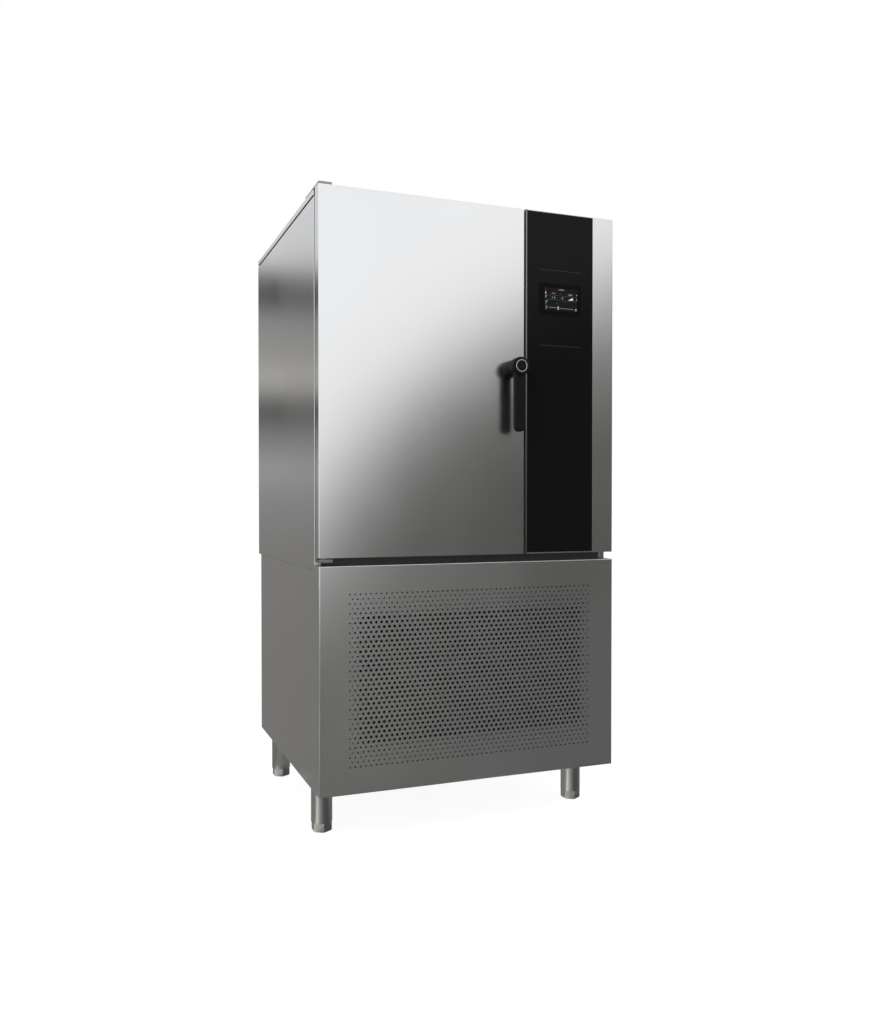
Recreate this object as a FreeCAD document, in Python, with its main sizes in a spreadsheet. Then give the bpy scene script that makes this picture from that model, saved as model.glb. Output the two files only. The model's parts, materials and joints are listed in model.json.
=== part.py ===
import FreeCAD, Part

import math
import os

import Sketcher
from FreeCAD import Placement, Rotation, Vector

# A floor-standing blast chiller: an insulated cabinet with one full-height door and a glass control
# column, standing on a ventilated base that holds the refrigeration unit, on four adjustable legs.
# Millimetres. +X is to the right of someone facing the door, +Y runs to the back and +Z is up.
# The origin is on the floor, under the middle of the whole machine, handle included.

doc = FreeCAD.newDocument("BlastChiller")
sheet = doc.addObject("Spreadsheet::Sheet", "Sizes")
places = doc.addObject("App::VarSet", "Places")


# ---------------------------------------------------------------- sizes that keep their formula


class Size:
    """A number that keeps its formula, so that what is made from it can be bound to the sheet."""

    def __init__(self, text, value):
        self.text = text
        self.value = value

    def __float__(self):
        return float(self.value)

    def __neg__(self):
        return Size(f"(-1 * {self.text})", -self.value)

    def __add__(self, other):
        return joined(self, "+", other, float(self) + float(other))

    def __radd__(self, other):
        return joined(other, "+", self, float(other) + float(self))

    def __sub__(self, other):
        return joined(self, "-", other, float(self) - float(other))

    def __rsub__(self, other):
        return joined(other, "-", self, float(other) - float(self))

    def __mul__(self, other):
        return joined(self, "*", other, float(self) * float(other))

    def __rmul__(self, other):
        return joined(other, "*", self, float(other) * float(self))

    def __truediv__(self, other):
        return joined(self, "/", other, float(self) / float(other))


def formula(item):
    return item.text if isinstance(item, Size) else repr(float(item))


def joined(first, sign, second, value):
    return Size(f"({formula(first)} {sign} {formula(second)})", value)


cells = []


def cell(alias, value, meaning):
    """One driving dimension: a row of the sheet, and the size that stands for it here."""
    cells.append(alias)
    row = len(cells)
    sheet.set(f"A{row}", meaning)
    sheet.set(f"B{row}", str(value))
    sheet.setAlias(f"B{row}", alias)
    return Size(f"Sizes.{alias}", value)


def place(name, size):
    """A level or plane worked out from the driving dimensions, kept under its own name."""
    places.addProperty("App::PropertyFloat", name)
    places.setExpression(name, formula(size))
    return Size(f"Places.{name}", float(size))


# ---------------------------------------------------------------- driving dimensions

# The whole machine.
width = cell("width", 900.0, "across the outside of the side panels")
upper_depth = cell("upper_depth", 873.0, "door face to the back of the cabinet")
base_setback = cell("base_setback", 42.0, "back of the base in front of the cabinet's back")
leg_height = cell("leg_height", 146.0, "floor to the underside of the base")
base_height = cell("base_height", 604.0, "underside of the base to the deck")
cabinet_height = cell("cabinet_height", 1025.0, "deck to the top of the cover")
skin = cell("skin", 1.2, "outer sheet metal")
fold = cell("fold", 18.0, "width of the folded edges of the side panels")
bend_radius = cell("bend_radius", 3.0, "outside of a folded corner")
fit_gap = cell("fit_gap", 0.3, "clearance between parts that nearly touch")

# Base.
lip_rise = cell("lip_rise", 12.7, "top edge of the front grille above the deck")
grille_return = cell("grille_return", 59.0, "how far the front grille wraps round each side")
grille_fold = cell("grille_fold", 12.0, "folded top and bottom edges of the front grille")
hole_pitch_across = cell("hole_pitch_across", 49.67, "grille holes, centre to centre in a row")
hole_pitch_up = cell("hole_pitch_up", 46.64, "grille rows, centre to centre")
field_bottom = cell("field_bottom", 73.5, "underside of the base to the lowest row of holes")
hole_small = cell("hole_small", 6.0, "radius of a grille hole at the margin of the field")
hole_large = cell("hole_large", 13.4, "radius of a grille hole in the middle of the field")
hole_rows = cell("hole_rows", 11, "rows of grille holes")
hole_columns = cell("hole_columns", 15, "holes in a full row")
hole_grow = cell("hole_grow", 2.5, "rows or columns over which the holes grow from the margin")
hole_wave = cell("hole_wave", 0.9, "slow change of the radius over the middle of the field")
tray_rim = cell("tray_rim", 40.0, "height of the base tray's rim")
tray_sheet = cell("tray_sheet", 1.5, "sheet of the base tray and its posts")
post_width = cell("post_width", 35.0, "each leg of a corner post's angle section")
deck_sheet = cell("deck_sheet", 2.0, "plate that carries the cabinet")
louvre_height = cell("louvre_height", 14.0, "one slot of the rear panel")
louvre_width = cell("louvre_width", 260.0, "length of a slot of the rear panel")
louvre_pitch = cell("louvre_pitch", 42.0, "slot to slot")
louvre_rows = cell("louvre_rows", 8, "slots in each column of the rear panel")
louvre_first = cell("louvre_first", 151.0, "underside of the base to the lowest slot")

# Legs.
leg_radius = cell("leg_radius", 30.15, "outside of the leg tube")
leg_wall = cell("leg_wall", 2.0, "wall of the leg tube")
leg_plug = cell("leg_plug", 24.0, "threaded plug in the lower end of the tube")
leg_inset = cell("leg_inset", 48.4, "leg axis from the side of the base")
leg_front = cell("leg_front", 166.6, "front leg axis behind the door face")
leg_rear = cell("leg_rear", 98.7, "rear leg axis in front of the back of the base")
foot_height = cell("foot_height", 27.0, "hexagonal adjuster, floor to tube")
foot_radius = cell("foot_radius", 30.0, "adjuster across its corners, halved")
foot_chamfer = cell("foot_chamfer", 4.0, "bevel round the bottom of the adjuster")
stud_radius = cell("stud_radius", 10.0, "screw of the adjuster")
stud_length = cell("stud_length", 70.0, "screw above the hexagon")

# Cabinet.
wall = cell("wall", 60.0, "insulated wall, outside to inside")
body_setback = cell("body_setback", 48.0, "cabinet front behind the door face")
cover_fold = cell("cover_fold", 15.0, "height of the top cover")
cover_setback = cell("cover_setback", 60.0, "front of the top cover behind the door face")
cover_return = cell("cover_return", 20.0, "folded lower edge of the top cover")
reveal_height = cell("reveal_height", 6.0, "shadow gap under the top cover")
reveal_inset = cell("reveal_inset", 6.0, "depth of that shadow gap")
liner_sheet = cell("liner_sheet", 0.8, "sheet of the inner liner")
cove_radius = cell("cove_radius", 18.0, "rounded inner corners of the liner")
latch_margin = cell("latch_margin", 37.1, "edge of the door opening to the handle axis")
baffle_offset = cell("baffle_offset", 25.0, "air baffle to the right of the door opening")
rack_side = cell("rack_side", 32.0, "side of the door opening to the tray's edge")
runner_ledge = cell("runner_ledge", 22.0, "ledge of a runner under the tray")
runner_rise = cell("runner_rise", 14.0, "upstand of a runner beside the tray")
runner_sheet = cell("runner_sheet", 1.5, "sheet of a runner")
rack_back = cell("rack_back", 75.0, "back of the runners in front of the chamber's back wall")
runner_levels = cell("runner_levels", 10, "pairs of runners")
runner_pitch = cell("runner_pitch", 75.0, "height from one level to the next")
runner_first = cell("runner_first", 85.0, "lowest level above the chamber floor")
upright_width = cell("upright_width", 20.0, "square upright of a rack")
upright_inset = cell("upright_inset", 40.0, "end of a runner to the nearest upright")
upright_above = cell("upright_above", 12.0, "upright above the highest runner")
rack_setback = cell("rack_setback", 90.0, "front of the racks behind the cabinet front")

# Air circulation.
fan_radius = cell("fan_radius", 115.0, "evaporator fan, over the blade tips")
fan_port_radius = cell("fan_port_radius", 124.0, "hole in the baffle for a fan")
fan_lower = cell("fan_lower", 250.0, "lower fan axis above the chamber floor")
fan_spacing = cell("fan_spacing", 390.0, "lower fan axis to upper fan axis")
fan_behind = cell("fan_behind", 24.0, "fan hub behind the baffle")
slot_width = cell("slot_width", 40.0, "return slot of the baffle")
slot_margin = cell("slot_margin", 55.0, "edge of the baffle to the return slot")
slot_end = cell("slot_end", 60.0, "floor or ceiling of the chamber to the end of a slot")
hub_radius = cell("hub_radius", 34.0, "fan hub")
hub_depth = cell("hub_depth", 26.0, "fan hub along its axis")
blade_sheet = cell("blade_sheet", 2.0, "thickness of a fan blade")
fan_chord = cell("fan_chord", 74.0, "evaporator fan blade across its tip")
condenser_fan_chord = cell("condenser_fan_chord", 96.0, "condenser fan blade across its tip")
shaft_radius = cell("shaft_radius", 5.0, "motor shaft")
shaft_gap = cell("shaft_gap", 0.05, "fit of a fan on its shaft")
shaft_short = cell("shaft_short", 4.0, "end of the shaft inside the front of the hub")
blade_root = cell("blade_root", 8.0, "blade inside the edge of the hub")
bridge_foot = cell("bridge_foot", 22.0, "foot of a motor bridge")
bridge_sheet = cell("bridge_sheet", 3.0, "sheet of a motor bridge")
bridge_width = cell("bridge_width", 28.0, "strap of a motor bridge")
bridge_margin = cell("bridge_margin", 6.0, "bridge outside the fan port")
bridge_room = cell("bridge_room", 10.0, "back of a bridge behind the fan hub")
condenser_bridge = cell("condenser_bridge", 34.0, "back of the bridge behind the shroud")
motor_radius = cell("motor_radius", 44.0, "fan motor")
motor_length = cell("motor_length", 62.0, "fan motor along its axis")
guard_ring = cell("guard_ring", 7.0, "width of one ring of a fan guard")
guard_sheet = cell("guard_sheet", 2.0, "thickness of a fan guard")
coil_depth = cell("coil_depth", 100.0, "evaporator block, front to back of the air path")
coil_back = cell("coil_back", 36.0, "end of the evaporator block in front of the rising lines")
coil_gap = cell("coil_gap", 3.0, "return bends clear of the chamber's front wall")
coil_side = cell("coil_side", 22.0, "evaporator block from the chamber's right wall")
coil_rise = cell("coil_rise", 24.0, "evaporator block above the chamber floor")
coil_bend_first = cell("coil_bend_first", 110.0, "foot of the block to its lowest return bend")
coil_bend_step = cell("coil_bend_step", 180.0, "return bend to return bend on the evaporator")
manifold_rise = cell("manifold_rise", 190.0, "manifold above the chamber floor")
manifold_height = cell("manifold_height", 34.0, "manifold block")
manifold_margin = cell("manifold_margin", 14.0, "manifold block round the axes of its lines")
fin_inset = cell("fin_inset", 4.0, "fins inside the edges of the end plates")
coil_height = cell("coil_height", 790.0, "evaporator block")
coil_plate = cell("coil_plate", 3.0, "end plates of both coils")
fin_pitch = cell("fin_pitch", 40.0, "fin to fin, each standing for a bundle of real ones")
fin_sheet = cell("fin_sheet", 1.5, "thickness of a fin")
coil_tube = cell("coil_tube", 8.0, "radius of a coil tube")
bend_reach = cell("bend_reach", 17.0, "radius of the return bends on the coils")
drip_rim = cell("drip_rim", 30.0, "rim of the drip tray")
drip_gap = cell("drip_gap", 8.0, "drip tray clear of the chamber's walls")
drip_margin = cell("drip_margin", 14.0, "drip tray in front of the block's left side")
drip_end = cell("drip_end", 4.0, "drip tray behind the block's rear plate")
drip_wall = cell("drip_wall", 2.7, "wall of the drip tray's spigot")
drain_side = cell("drain_side", 10.0, "drain to the left of the middle of the block")
drain_front = cell("drain_front", 60.0, "drain behind the chamber's front wall")
liquid_side = cell("liquid_side", 6.0, "liquid line to the left of the block")
drain_radius = cell("drain_radius", 16.0, "outside of the drain pipe")
spigot_radius = cell("spigot_radius", 14.5, "hose spigot at the foot of the drain pipe")
spigot_length = cell("spigot_length", 30.0, "hose spigot")
drain_bore = cell("drain_bore", 12.5, "inside of the drain pipe")
drain_drop = cell("drain_drop", 26.0, "drain pipe below the base")

# Refrigeration unit in the base.
condenser_width = cell("condenser_width", 560.0, "condenser block along its tubes")
condenser_height = cell("condenser_height", 440.0, "condenser block")
condenser_depth = cell("condenser_depth", 66.0, "condenser block, front to back")
condenser_left = cell("condenser_left", 85.0, "condenser block from the left side of the base")
condenser_front = cell("condenser_front", 22.0, "condenser block behind the door face")
condenser_rise = cell("condenser_rise", 46.0, "condenser block above the underside of the base")
condenser_bend_first = cell("condenser_bend_first", 180.0, "foot of the block to its lowest bend")
condenser_bend_step = cell("condenser_bend_step", 90.0, "return bend to return bend")
condenser_bends = cell("condenser_bends", 3, "return bends that show on the condenser")
coil_bends = cell("coil_bends", 4, "return bends that show on the evaporator")
shroud_depth = cell("shroud_depth", 40.0, "fan shroud behind the condenser")
condenser_fan_radius = cell("condenser_fan_radius", 175.0, "condenser fan, over the blade tips")
shroud_port_radius = cell("shroud_port_radius", 186.0, "round port of the shroud")
pot_radius = cell("pot_radius", 104.0, "compressor shell")
pot_height = cell("pot_height", 290.0, "compressor shell")
pot_dome = cell("pot_dome", 46.0, "sloping top of the compressor shell")
pot_crown = cell("pot_crown", 57.0, "radius of the flat crown of the compressor shell")
terminal_width = cell("terminal_width", 70.0, "terminal box of the compressor")
terminal_height = cell("terminal_height", 70.0, "terminal box of the compressor")
terminal_reach = cell("terminal_reach", 28.0, "terminal box in front of the shell")
terminal_rise = cell("terminal_rise", 150.0, "terminal box above the foot plate")
pot_right = cell("pot_right", 300.0, "compressor axis from the right side of the base")
pot_back = cell("pot_back", 225.0, "compressor axis in front of the back of the base")
pot_feet = cell("pot_feet", 270.0, "square foot plate of the compressor")
grommet_radius = cell("grommet_radius", 16.0, "rubber mount of the compressor")
grommet_height = cell("grommet_height", 18.0, "rubber mount of the compressor")
grommet_inset = cell("grommet_inset", 4.0, "rubber mount inside the edge of the foot plate")
receiver_radius = cell("receiver_radius", 52.0, "liquid receiver")
receiver_height = cell("receiver_height", 250.0, "liquid receiver")
receiver_end = cell("receiver_end", 14.0, "ring foot and valve plate of the receiver")
receiver_ring = cell("receiver_ring", 36.0, "radius of the ring foot and the valve plate")
receiver_left = cell("receiver_left", 190.0, "receiver axis from the left side of the base")
suction_radius = cell("suction_radius", 11.0, "suction line")
liquid_radius = cell("liquid_radius", 6.0, "liquid and discharge lines")
line_bend = cell("line_bend", 30.0, "bend of a refrigerant line, to its centre")
line_back = cell("line_back", 108.0, "rising lines in front of the back of the cabinet")
line_gap = cell("line_gap", 3.0, "room round a pipe where it passes through a wall")
discharge_reach = cell("discharge_reach", 42.0, "discharge line to the right of the shell")
discharge_rise = cell("discharge_rise", 160.0, "discharge line above the foot plate")
suction_rise = cell("suction_rise", 203.0, "suction line above the foot plate")
condensate_rise = cell("condensate_rise", 34.0, "condensate line above the foot of the block")
condensate_reach = cell("condensate_reach", 34.0, "condensate line to the left of the block")
liquid_drop = cell("liquid_drop", 150.0, "level run of the liquid line under the deck")
electrical_width = cell("electrical_width", 120.0, "electrical box across the base")
electrical_depth = cell("electrical_depth", 230.0, "electrical box, front to back")
electrical_height = cell("electrical_height", 300.0, "electrical box")
electrical_rise = cell("electrical_rise", 90.0, "electrical box above the tray")
electrical_gap = cell("electrical_gap", 25.0, "electrical box behind the drain pipe")
lid_depth = cell("lid_depth", 12.0, "lid of the electrical box")
lid_lap = cell("lid_lap", 3.0, "lid outside the box all round")
gland_side = cell("gland_side", 90.0, "gland axis from the right side of the base")
gland_rise = cell("gland_rise", 110.0, "gland axis above the underside of the base")
gland_radius = cell("gland_radius", 13.0, "nut of the mains cable gland")
cable_radius = cell("cable_radius", 5.5, "bore of the gland")

# Control column.
column_width = cell("column_width", 290.0, "control column, gap line to the right side")
strip_width = cell("strip_width", 70.0, "steel strip to the right of the glass")
column_edge = cell("column_edge", 3.7, "steel edge to the left of the glass")
column_round = cell("column_round", 4.8, "rounded right edge of the column")
glass_sheet = cell("glass_sheet", 4.0, "control glass")
glass_foot = cell("glass_foot", 3.4, "steel edge under the glass")
glass_head = cell("glass_head", 2.2, "steel edge over the glass")
bezel_width = cell("bezel_width", 140.0, "display bezel")
bezel_height = cell("bezel_height", 92.0, "display bezel")
bezel_radius = cell("bezel_radius", 8.0, "corners of the display bezel")
bezel_level = cell("bezel_level", 252.0, "middle of the display under the top of the column")
bezel_middle = cell("bezel_middle", 111.0, "middle of the display from the column's left edge")
display_depth = cell("display_depth", 18.0, "display module behind the glass")
board_width = cell("board_width", 150.0, "control board")
board_height = cell("board_height", 220.0, "control board")
board_drop = cell("board_drop", 90.0, "top of the control board under the display")
standoff = cell("standoff", 9.0, "control board behind the column's front")
standoff_side = cell("standoff_side", 8.0, "square standoff, and its inset from the board's edge")
relay_count = cell("relay_count", 4, "relays on the control board")
relay_width = cell("relay_width", 20.0, "relay across the board")
relay_height = cell("relay_height", 30.0, "relay up the board")
relay_depth = cell("relay_depth", 15.0, "relay off the board")
relay_pitch = cell("relay_pitch", 28.0, "relay to relay")
relay_inset = cell("relay_inset", 20.0, "first relay from the board's corner")
transformer_side = cell("transformer_side", 50.0, "square transformer on the control board")
transformer_depth = cell("transformer_depth", 18.0, "transformer off the board")
transformer_left = cell("transformer_left", 30.0, "transformer from the board's left edge")
transformer_drop = cell("transformer_drop", 40.0, "transformer below the board's upper edge")

# Door.
door_thickness = cell("door_thickness", 36.0, "door, face to back")
door_lift = cell("door_lift", 21.6, "gap from the grille's top edge to the door")
door_head = cell("door_head", 0.6, "gap from the door to the level of the cover")
door_gap = cell("door_gap", 5.4, "gap from the door to the control column")
door_round = cell("door_round", 1.8, "rounded upright edges of the door's face")
plug_rise = cell("plug_rise", 8.0, "raised middle of the door's inner panel")
plug_round = cell("plug_round", 6.0, "corners of that raised middle")
plug_margin = cell("plug_margin", 12.0, "raised middle inside the door opening")
gasket_width = cell("gasket_width", 18.0, "door gasket")
gasket_margin = cell("gasket_margin", 4.0, "gasket outside the door opening")
pivot_inset = cell("pivot_inset", 20.0, "hinge axis from the door's left edge and from its face")
pin_radius = cell("pin_radius", 6.0, "hinge pin")
pin_length = cell("pin_length", 20.0, "hinge pin inside the door")
pin_gap = cell("pin_gap", 0.08, "running clearance of the pin in its bush")
bush_radius = cell("bush_radius", 11.0, "door bush")
bush_depth = cell("bush_depth", 24.0, "door bush")
collar_ledge = cell("collar_ledge", 4.0, "bearing collar outside the lower pin")
hinge_screw = cell("hinge_screw", 6.0, "radius of a hinge screw's head")
hinge_screw_head = cell("hinge_screw_head", 4.0, "height of a hinge screw's head")
hinge_screw_back = cell("hinge_screw_back", 22.0, "rear screw from the end of the bracket")
hinge_screw_pitch = cell("hinge_screw_pitch", 36.0, "screw to screw")
bracket_width = cell("bracket_width", 37.0, "hinge bracket")
bracket_sheet = cell("bracket_sheet", 6.0, "upper hinge bracket")
bracket_reach = cell("bracket_reach", 150.0, "upper hinge bracket, front to back")
lower_bracket_sheet = cell("lower_bracket_sheet", 9.0, "lower hinge bracket")
lower_bracket_drop = cell("lower_bracket_drop", 3.0, "lower hinge bracket under the door")

# Handle.
handle_reach = cell("handle_reach", 62.0, "front of the handle from the door face")
handle_inset = cell("handle_inset", 37.5, "handle axis from the door's right edge")
handle_level = cell("handle_level", 531.0, "handle axis above the door's lower edge")
neck_radius = cell("neck_radius", 21.5, "fixed neck of the handle")
head_radius = cell("head_radius", 23.0, "turning head of the handle")
head_length = cell("head_length", 27.0, "turning head of the handle")
ring_radius = cell("ring_radius", 18.5, "bright ring on the head, outside")
ring_bore = cell("ring_bore", 13.5, "bright ring on the head, inside")
trim_height = cell("trim_height", 4.5, "thickness of the bright ring")
cap_drop = cell("cap_drop", 1.0, "cap behind the front of the bright ring")
grip_width = cell("grip_width", 27.0, "hanging grip")
grip_depth = cell("grip_depth", 19.0, "hanging grip, front to back")
grip_setback = cell("grip_setback", 7.0, "grip behind the front of the handle")
grip_length = cell("grip_length", 184.0, "handle axis to the tip of the grip")
grip_edge = cell("grip_edge", 5.0, "eased edges of the grip")
grip_round = cell("grip_round", 11.6, "rounded lower corners of the grip")
spindle_radius = cell("spindle_radius", 6.0, "latch spindle through the door")
spindle_gap = cell("spindle_gap", 1.0, "room round the spindle in the door")
cam_sheet = cell("cam_sheet", 5.0, "latch cam")
cam_reach = cell("cam_reach", 24.0, "latch cam from its axis")
cam_width = cell("cam_width", 14.0, "latch cam")
cam_gap = cell("cam_gap", 2.0, "latch cam behind the door's inner panel")
cam_boss = cell("cam_boss", 9.0, "radius of the cam round its spindle")
striker_gap = cell("striker_gap", 1.0, "cam to striker")
striker_sheet = cell("striker_sheet", 6.0, "striker")
striker_height = cell("striker_height", 36.0, "striker")
striker_back = cell("striker_back", 2.5, "striker behind the door's inner panel")
striker_foot = cell("striker_foot", 10.0, "foot of the striker towards the opening")
striker_foot_sheet = cell("striker_foot_sheet", 2.0, "foot of the striker")

doc.recompute()

# ---------------------------------------------------------------- planes and levels

BEND_LEGS = 1.6  # legs of a return bend, in radii of the bend

half = place("half", width / 2)
front = place("front", (handle_reach - upper_depth) / 2)
rear = place("rear", front + upper_depth)
base_rear = place("base_rear", rear - base_setback)
body_front = place("body_front", front + body_setback)
deck_level = place("deck_level", leg_height + base_height)
lip_level = place("lip_level", deck_level + lip_rise)
top_level = place("top_level", deck_level + cabinet_height)
body_top = place("body_top", top_level - cover_fold)
side_top = place("side_top", body_top - reveal_height)
door_bottom = place("door_bottom", lip_level + door_lift)
door_top = place("door_top", top_level - door_head)
door_back = place("door_back", front + door_thickness)
door_right = place("door_right", half - column_width - door_gap)
column_left = place("column_left", half - column_width)
chamber_left = place("chamber_left", wall - half)
chamber_right = place("chamber_right", half - wall)
chamber_back = place("chamber_back", rear - wall)
chamber_floor = place("chamber_floor", deck_level + wall)
chamber_top = place("chamber_top", body_top - wall)
handle_x = place("handle_x", door_right - handle_inset)
opening_right = place("opening_right", handle_x - latch_margin)
opening_width = place("opening_width", opening_right - chamber_left)
tray_width = place("tray_width", opening_width - 2 * rack_side)
chamber_front = place("chamber_front", body_front + wall)
baffle_x = place("baffle_x", opening_right + baffle_offset)
line_y = place("line_y", rear - line_back)
pivot_x = place("pivot_x", pivot_inset - half)
pivot_y = place("pivot_y", front + pivot_inset)
handle_z = place("handle_z", door_bottom + handle_level)
tray_left = place("tray_left", skin - half)
tray_front = place("tray_front", front + grille_fold)
tray_back = place("tray_back", base_rear - 2 * skin)
drain_x = place("drain_x", chamber_right - coil_depth / 2 - drain_side)
drain_y = place("drain_y", chamber_front + drain_front)
liquid_x = place("liquid_x", chamber_right - coil_depth - liquid_side)
suction_x = place("suction_x", chamber_right - coil_depth / 2)
gland_x = place("gland_x", half - gland_side)
gland_z = place("gland_z", leg_height + gland_rise)
unit_floor = place("unit_floor", leg_height + tray_sheet)
condenser_x = place("condenser_x", condenser_left - half)
condenser_y = place("condenser_y", front + condenser_front)
condenser_z = place("condenser_z", leg_height + condenser_rise)
pot_x = place("pot_x", half - pot_right)
pot_y = place("pot_y", base_rear - pot_back)
pot_z = place("pot_z", unit_floor + grommet_height)
receiver_x = place("receiver_x", receiver_left - half)
fan_axis_x = place("fan_axis_x", condenser_x + condenser_width / 2)
fan_axis_z = place("fan_axis_z", condenser_z + condenser_height / 2)
shroud_back = place("shroud_back", condenser_y + condenser_depth + shroud_depth)
manifold_level = place("manifold_level", chamber_floor + manifold_rise)
foam_left = place("foam_left", skin - half)
foam_front = place("foam_front", body_front + skin)
foam_back = place("foam_back", rear - 2 * skin)
foam_floor = place("foam_floor", deck_level + skin)
foam_top = place("foam_top", side_top - skin)
rack_middle = place("rack_middle", chamber_left + opening_width / 2)
rack_front = place("rack_front", body_front + rack_setback)
runner_length = place("runner_length", chamber_back - rack_back - rack_front)
chamber_middle = place("chamber_middle", (chamber_front + line_y) / 2)
coil_x = place("coil_x", chamber_right - coil_depth - coil_side)
coil_y = place("coil_y", chamber_front + coil_gap + coil_tube + BEND_LEGS * bend_reach + coil_plate)
coil_length = place("coil_length", line_y - coil_back - coil_plate - coil_y)
coil_z = place("coil_z", chamber_floor + coil_rise)
display_x = place("display_x", column_left + bezel_middle)
display_z = place("display_z", top_level - bezel_level)
floor_y = place("floor_y", front + glass_sheet)
door_left = place("door_left", -half)
head_back = place("head_back", front - handle_reach + head_length + skin)
grip_front = place("grip_front", front - handle_reach + grip_setback)
doc.recompute()


# ---------------------------------------------------------------- ways of making a solid


def bind(item, name, size):
    item.setExpression(name, formula(size))


def seat(item, x, y, z):
    for axis, size in zip("xyz", (x, y, z)):
        bind(item, f"Placement.Base.{axis}", size)
    return item


def block(name, x, y, z):
    """A box from its three spans, each a pair of from and to."""
    box = doc.addObject("Part::Box", name)
    for side, span in zip(("Length", "Width", "Height"), (x, y, z)):
        bind(box, side, span[1] - span[0])
    return seat(box, x[0], y[0], z[0])


ALONG = {"x": Rotation(Vector(0, 1, 0), 90), "y": Rotation(Vector(1, 0, 0), -90), "z": Rotation()}


def rod(name, axis, start, radius, length):
    """A cylinder that runs from its start along +X, +Y or +Z."""
    cylinder = doc.addObject("Part::Cylinder", name)
    cylinder.Placement = Placement(Vector(), ALONG[axis])
    bind(cylinder, "Radius", radius)
    bind(cylinder, "Height", length)
    return seat(cylinder, *start)


def many_sided(name, axis, start, radius, length, sides):
    """A regular prism that runs from its start along +X, +Y or +Z."""
    prism_part = doc.addObject("Part::Prism", name)
    prism_part.Polygon = sides
    prism_part.Placement = Placement(Vector(), ALONG[axis])
    bind(prism_part, "Circumradius", radius)
    bind(prism_part, "Height", length)
    return seat(prism_part, *start)


def gather(kind, name, pieces):
    result = doc.addObject(kind, name)
    setattr(result, "Links" if kind == "Part::Compound" else "Shapes", pieces)
    return result


def fuse(name, pieces):
    return gather("Part::MultiFuse", name, pieces)


def group(name, pieces):
    return gather("Part::Compound", name, pieces)


cuts = []


def cut(name, base, tools):
    """The base less all the tools."""
    result = doc.addObject("Part::Cut", name)
    result.Base = base
    result.Tool = tools[0] if len(tools) == 1 else fuse(f"{name}_tools", tools)
    cuts.append((result, base))
    return result


def new_body(name):
    return doc.addObject("PartDesign::Body", name)


def origin_feature(body, role):
    return next(part for part in body.Origin.OriginFeatures if part.Role == role)


# How far a sketch plane's own normal agrees with the axis that it crosses.
NORMAL = {"XY_Plane": 1, "XZ_Plane": -1, "YZ_Plane": 1}


def sketch_on(body, name, plane, level=0.0):
    """A sketch on one of the body's planes, moved along the axis that crosses it."""
    sketch = body.newObject("Sketcher::SketchObject", name)
    sketch.AttachmentSupport = (origin_feature(body, plane), [""])
    sketch.MapMode = "FlatFace"
    bind(sketch, "AttachmentOffset.Base.z", level * NORMAL[plane])
    return sketch


def constrain(sketch, size, *terms):
    """A dimension, bound to its formula."""
    index = sketch.addConstraint(Sketcher.Constraint(*terms, float(size)))
    if isinstance(size, Size):
        sketch.setExpression(f"Constraints[{index}]", formula(size))


def same(first, second):
    return abs(float(first) - float(second)) < 1e-9


def add_edges(sketch, points, radii):
    """The straight edges of an outline, shortened where a corner is rounded."""
    count = len(points)
    for here in range(count):
        there = (here + 1) % count
        run = points[there] - points[here]
        run.normalize()
        start = points[here] + run * radii[here]
        end = points[there] - run * radii[there]
        sketch.addGeometry(Part.LineSegment(start, end), False)


def add_corner(sketch, before, after, point, towards, away, radius):
    """A rounded right-angled corner between two edges."""
    centre = point + (towards + away) * float(radius)
    turn_left = (Vector() - towards).cross(away).z > 0
    first = math.atan2(*reversed((centre * -1 + point + towards * float(radius))[:2]))
    last = math.atan2(*reversed((centre * -1 + point + away * float(radius))[:2]))
    if not turn_left:
        first, last = last, first
    if last < first:
        last += 2 * math.pi
    circle = Part.Circle(centre, Vector(0, 0, 1), float(radius))
    arc = sketch.addGeometry(Part.ArcOfCircle(circle, first, last), False)
    sketch.addConstraint(Sketcher.Constraint("Tangent", before, 2, arc, 1 if turn_left else 2))
    sketch.addConstraint(Sketcher.Constraint("Tangent", after, 1, arc, 2 if turn_left else 1))
    constrain(sketch, radius, "Radius", arc)


def outline(sketch, corners):
    """A closed outline. Each corner is (x, y), or (x, y, radius) where two square edges are rounded."""
    count = len(corners)
    points = [Vector(float(corner[0]), float(corner[1]), 0) for corner in corners]
    radii = [float(corner[2]) if len(corner) > 2 else 0.0 for corner in corners]
    first = sketch.GeometryCount
    add_edges(sketch, points, radii)
    upright = [same(points[i].x, points[(i + 1) % count].x) for i in range(count)]
    level = [same(points[i].y, points[(i + 1) % count].y) for i in range(count)]
    for i, corner in enumerate(corners):
        edge, before = first + i, first + (i - 1) % count
        if upright[i]:
            sketch.addConstraint(Sketcher.Constraint("Vertical", edge))
            constrain(sketch, corner[0], "DistanceX", edge, 1)
        if level[i]:
            sketch.addConstraint(Sketcher.Constraint("Horizontal", edge))
            constrain(sketch, corner[1], "DistanceY", edge, 1)
        if len(corner) > 2:
            towards = (points[i - 1] - points[i]).normalize()
            away = (points[(i + 1) % count] - points[i]).normalize()
            add_corner(sketch, before, edge, points[i], towards, away, corner[2])
            continue
        sketch.addConstraint(Sketcher.Constraint("Coincident", before, 2, edge, 1))
        if not (upright[i] or upright[i - 1]):
            constrain(sketch, corner[0], "DistanceX", edge, 1)
        if not (level[i] or level[i - 1]):
            constrain(sketch, corner[1], "DistanceY", edge, 1)


def rectangle(sketch, x, y, radius=None):
    corners = [(x[0], y[0]), (x[1], y[0]), (x[1], y[1]), (x[0], y[1])]
    outline(sketch, [(*corner, radius) for corner in corners] if radius else corners)


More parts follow.
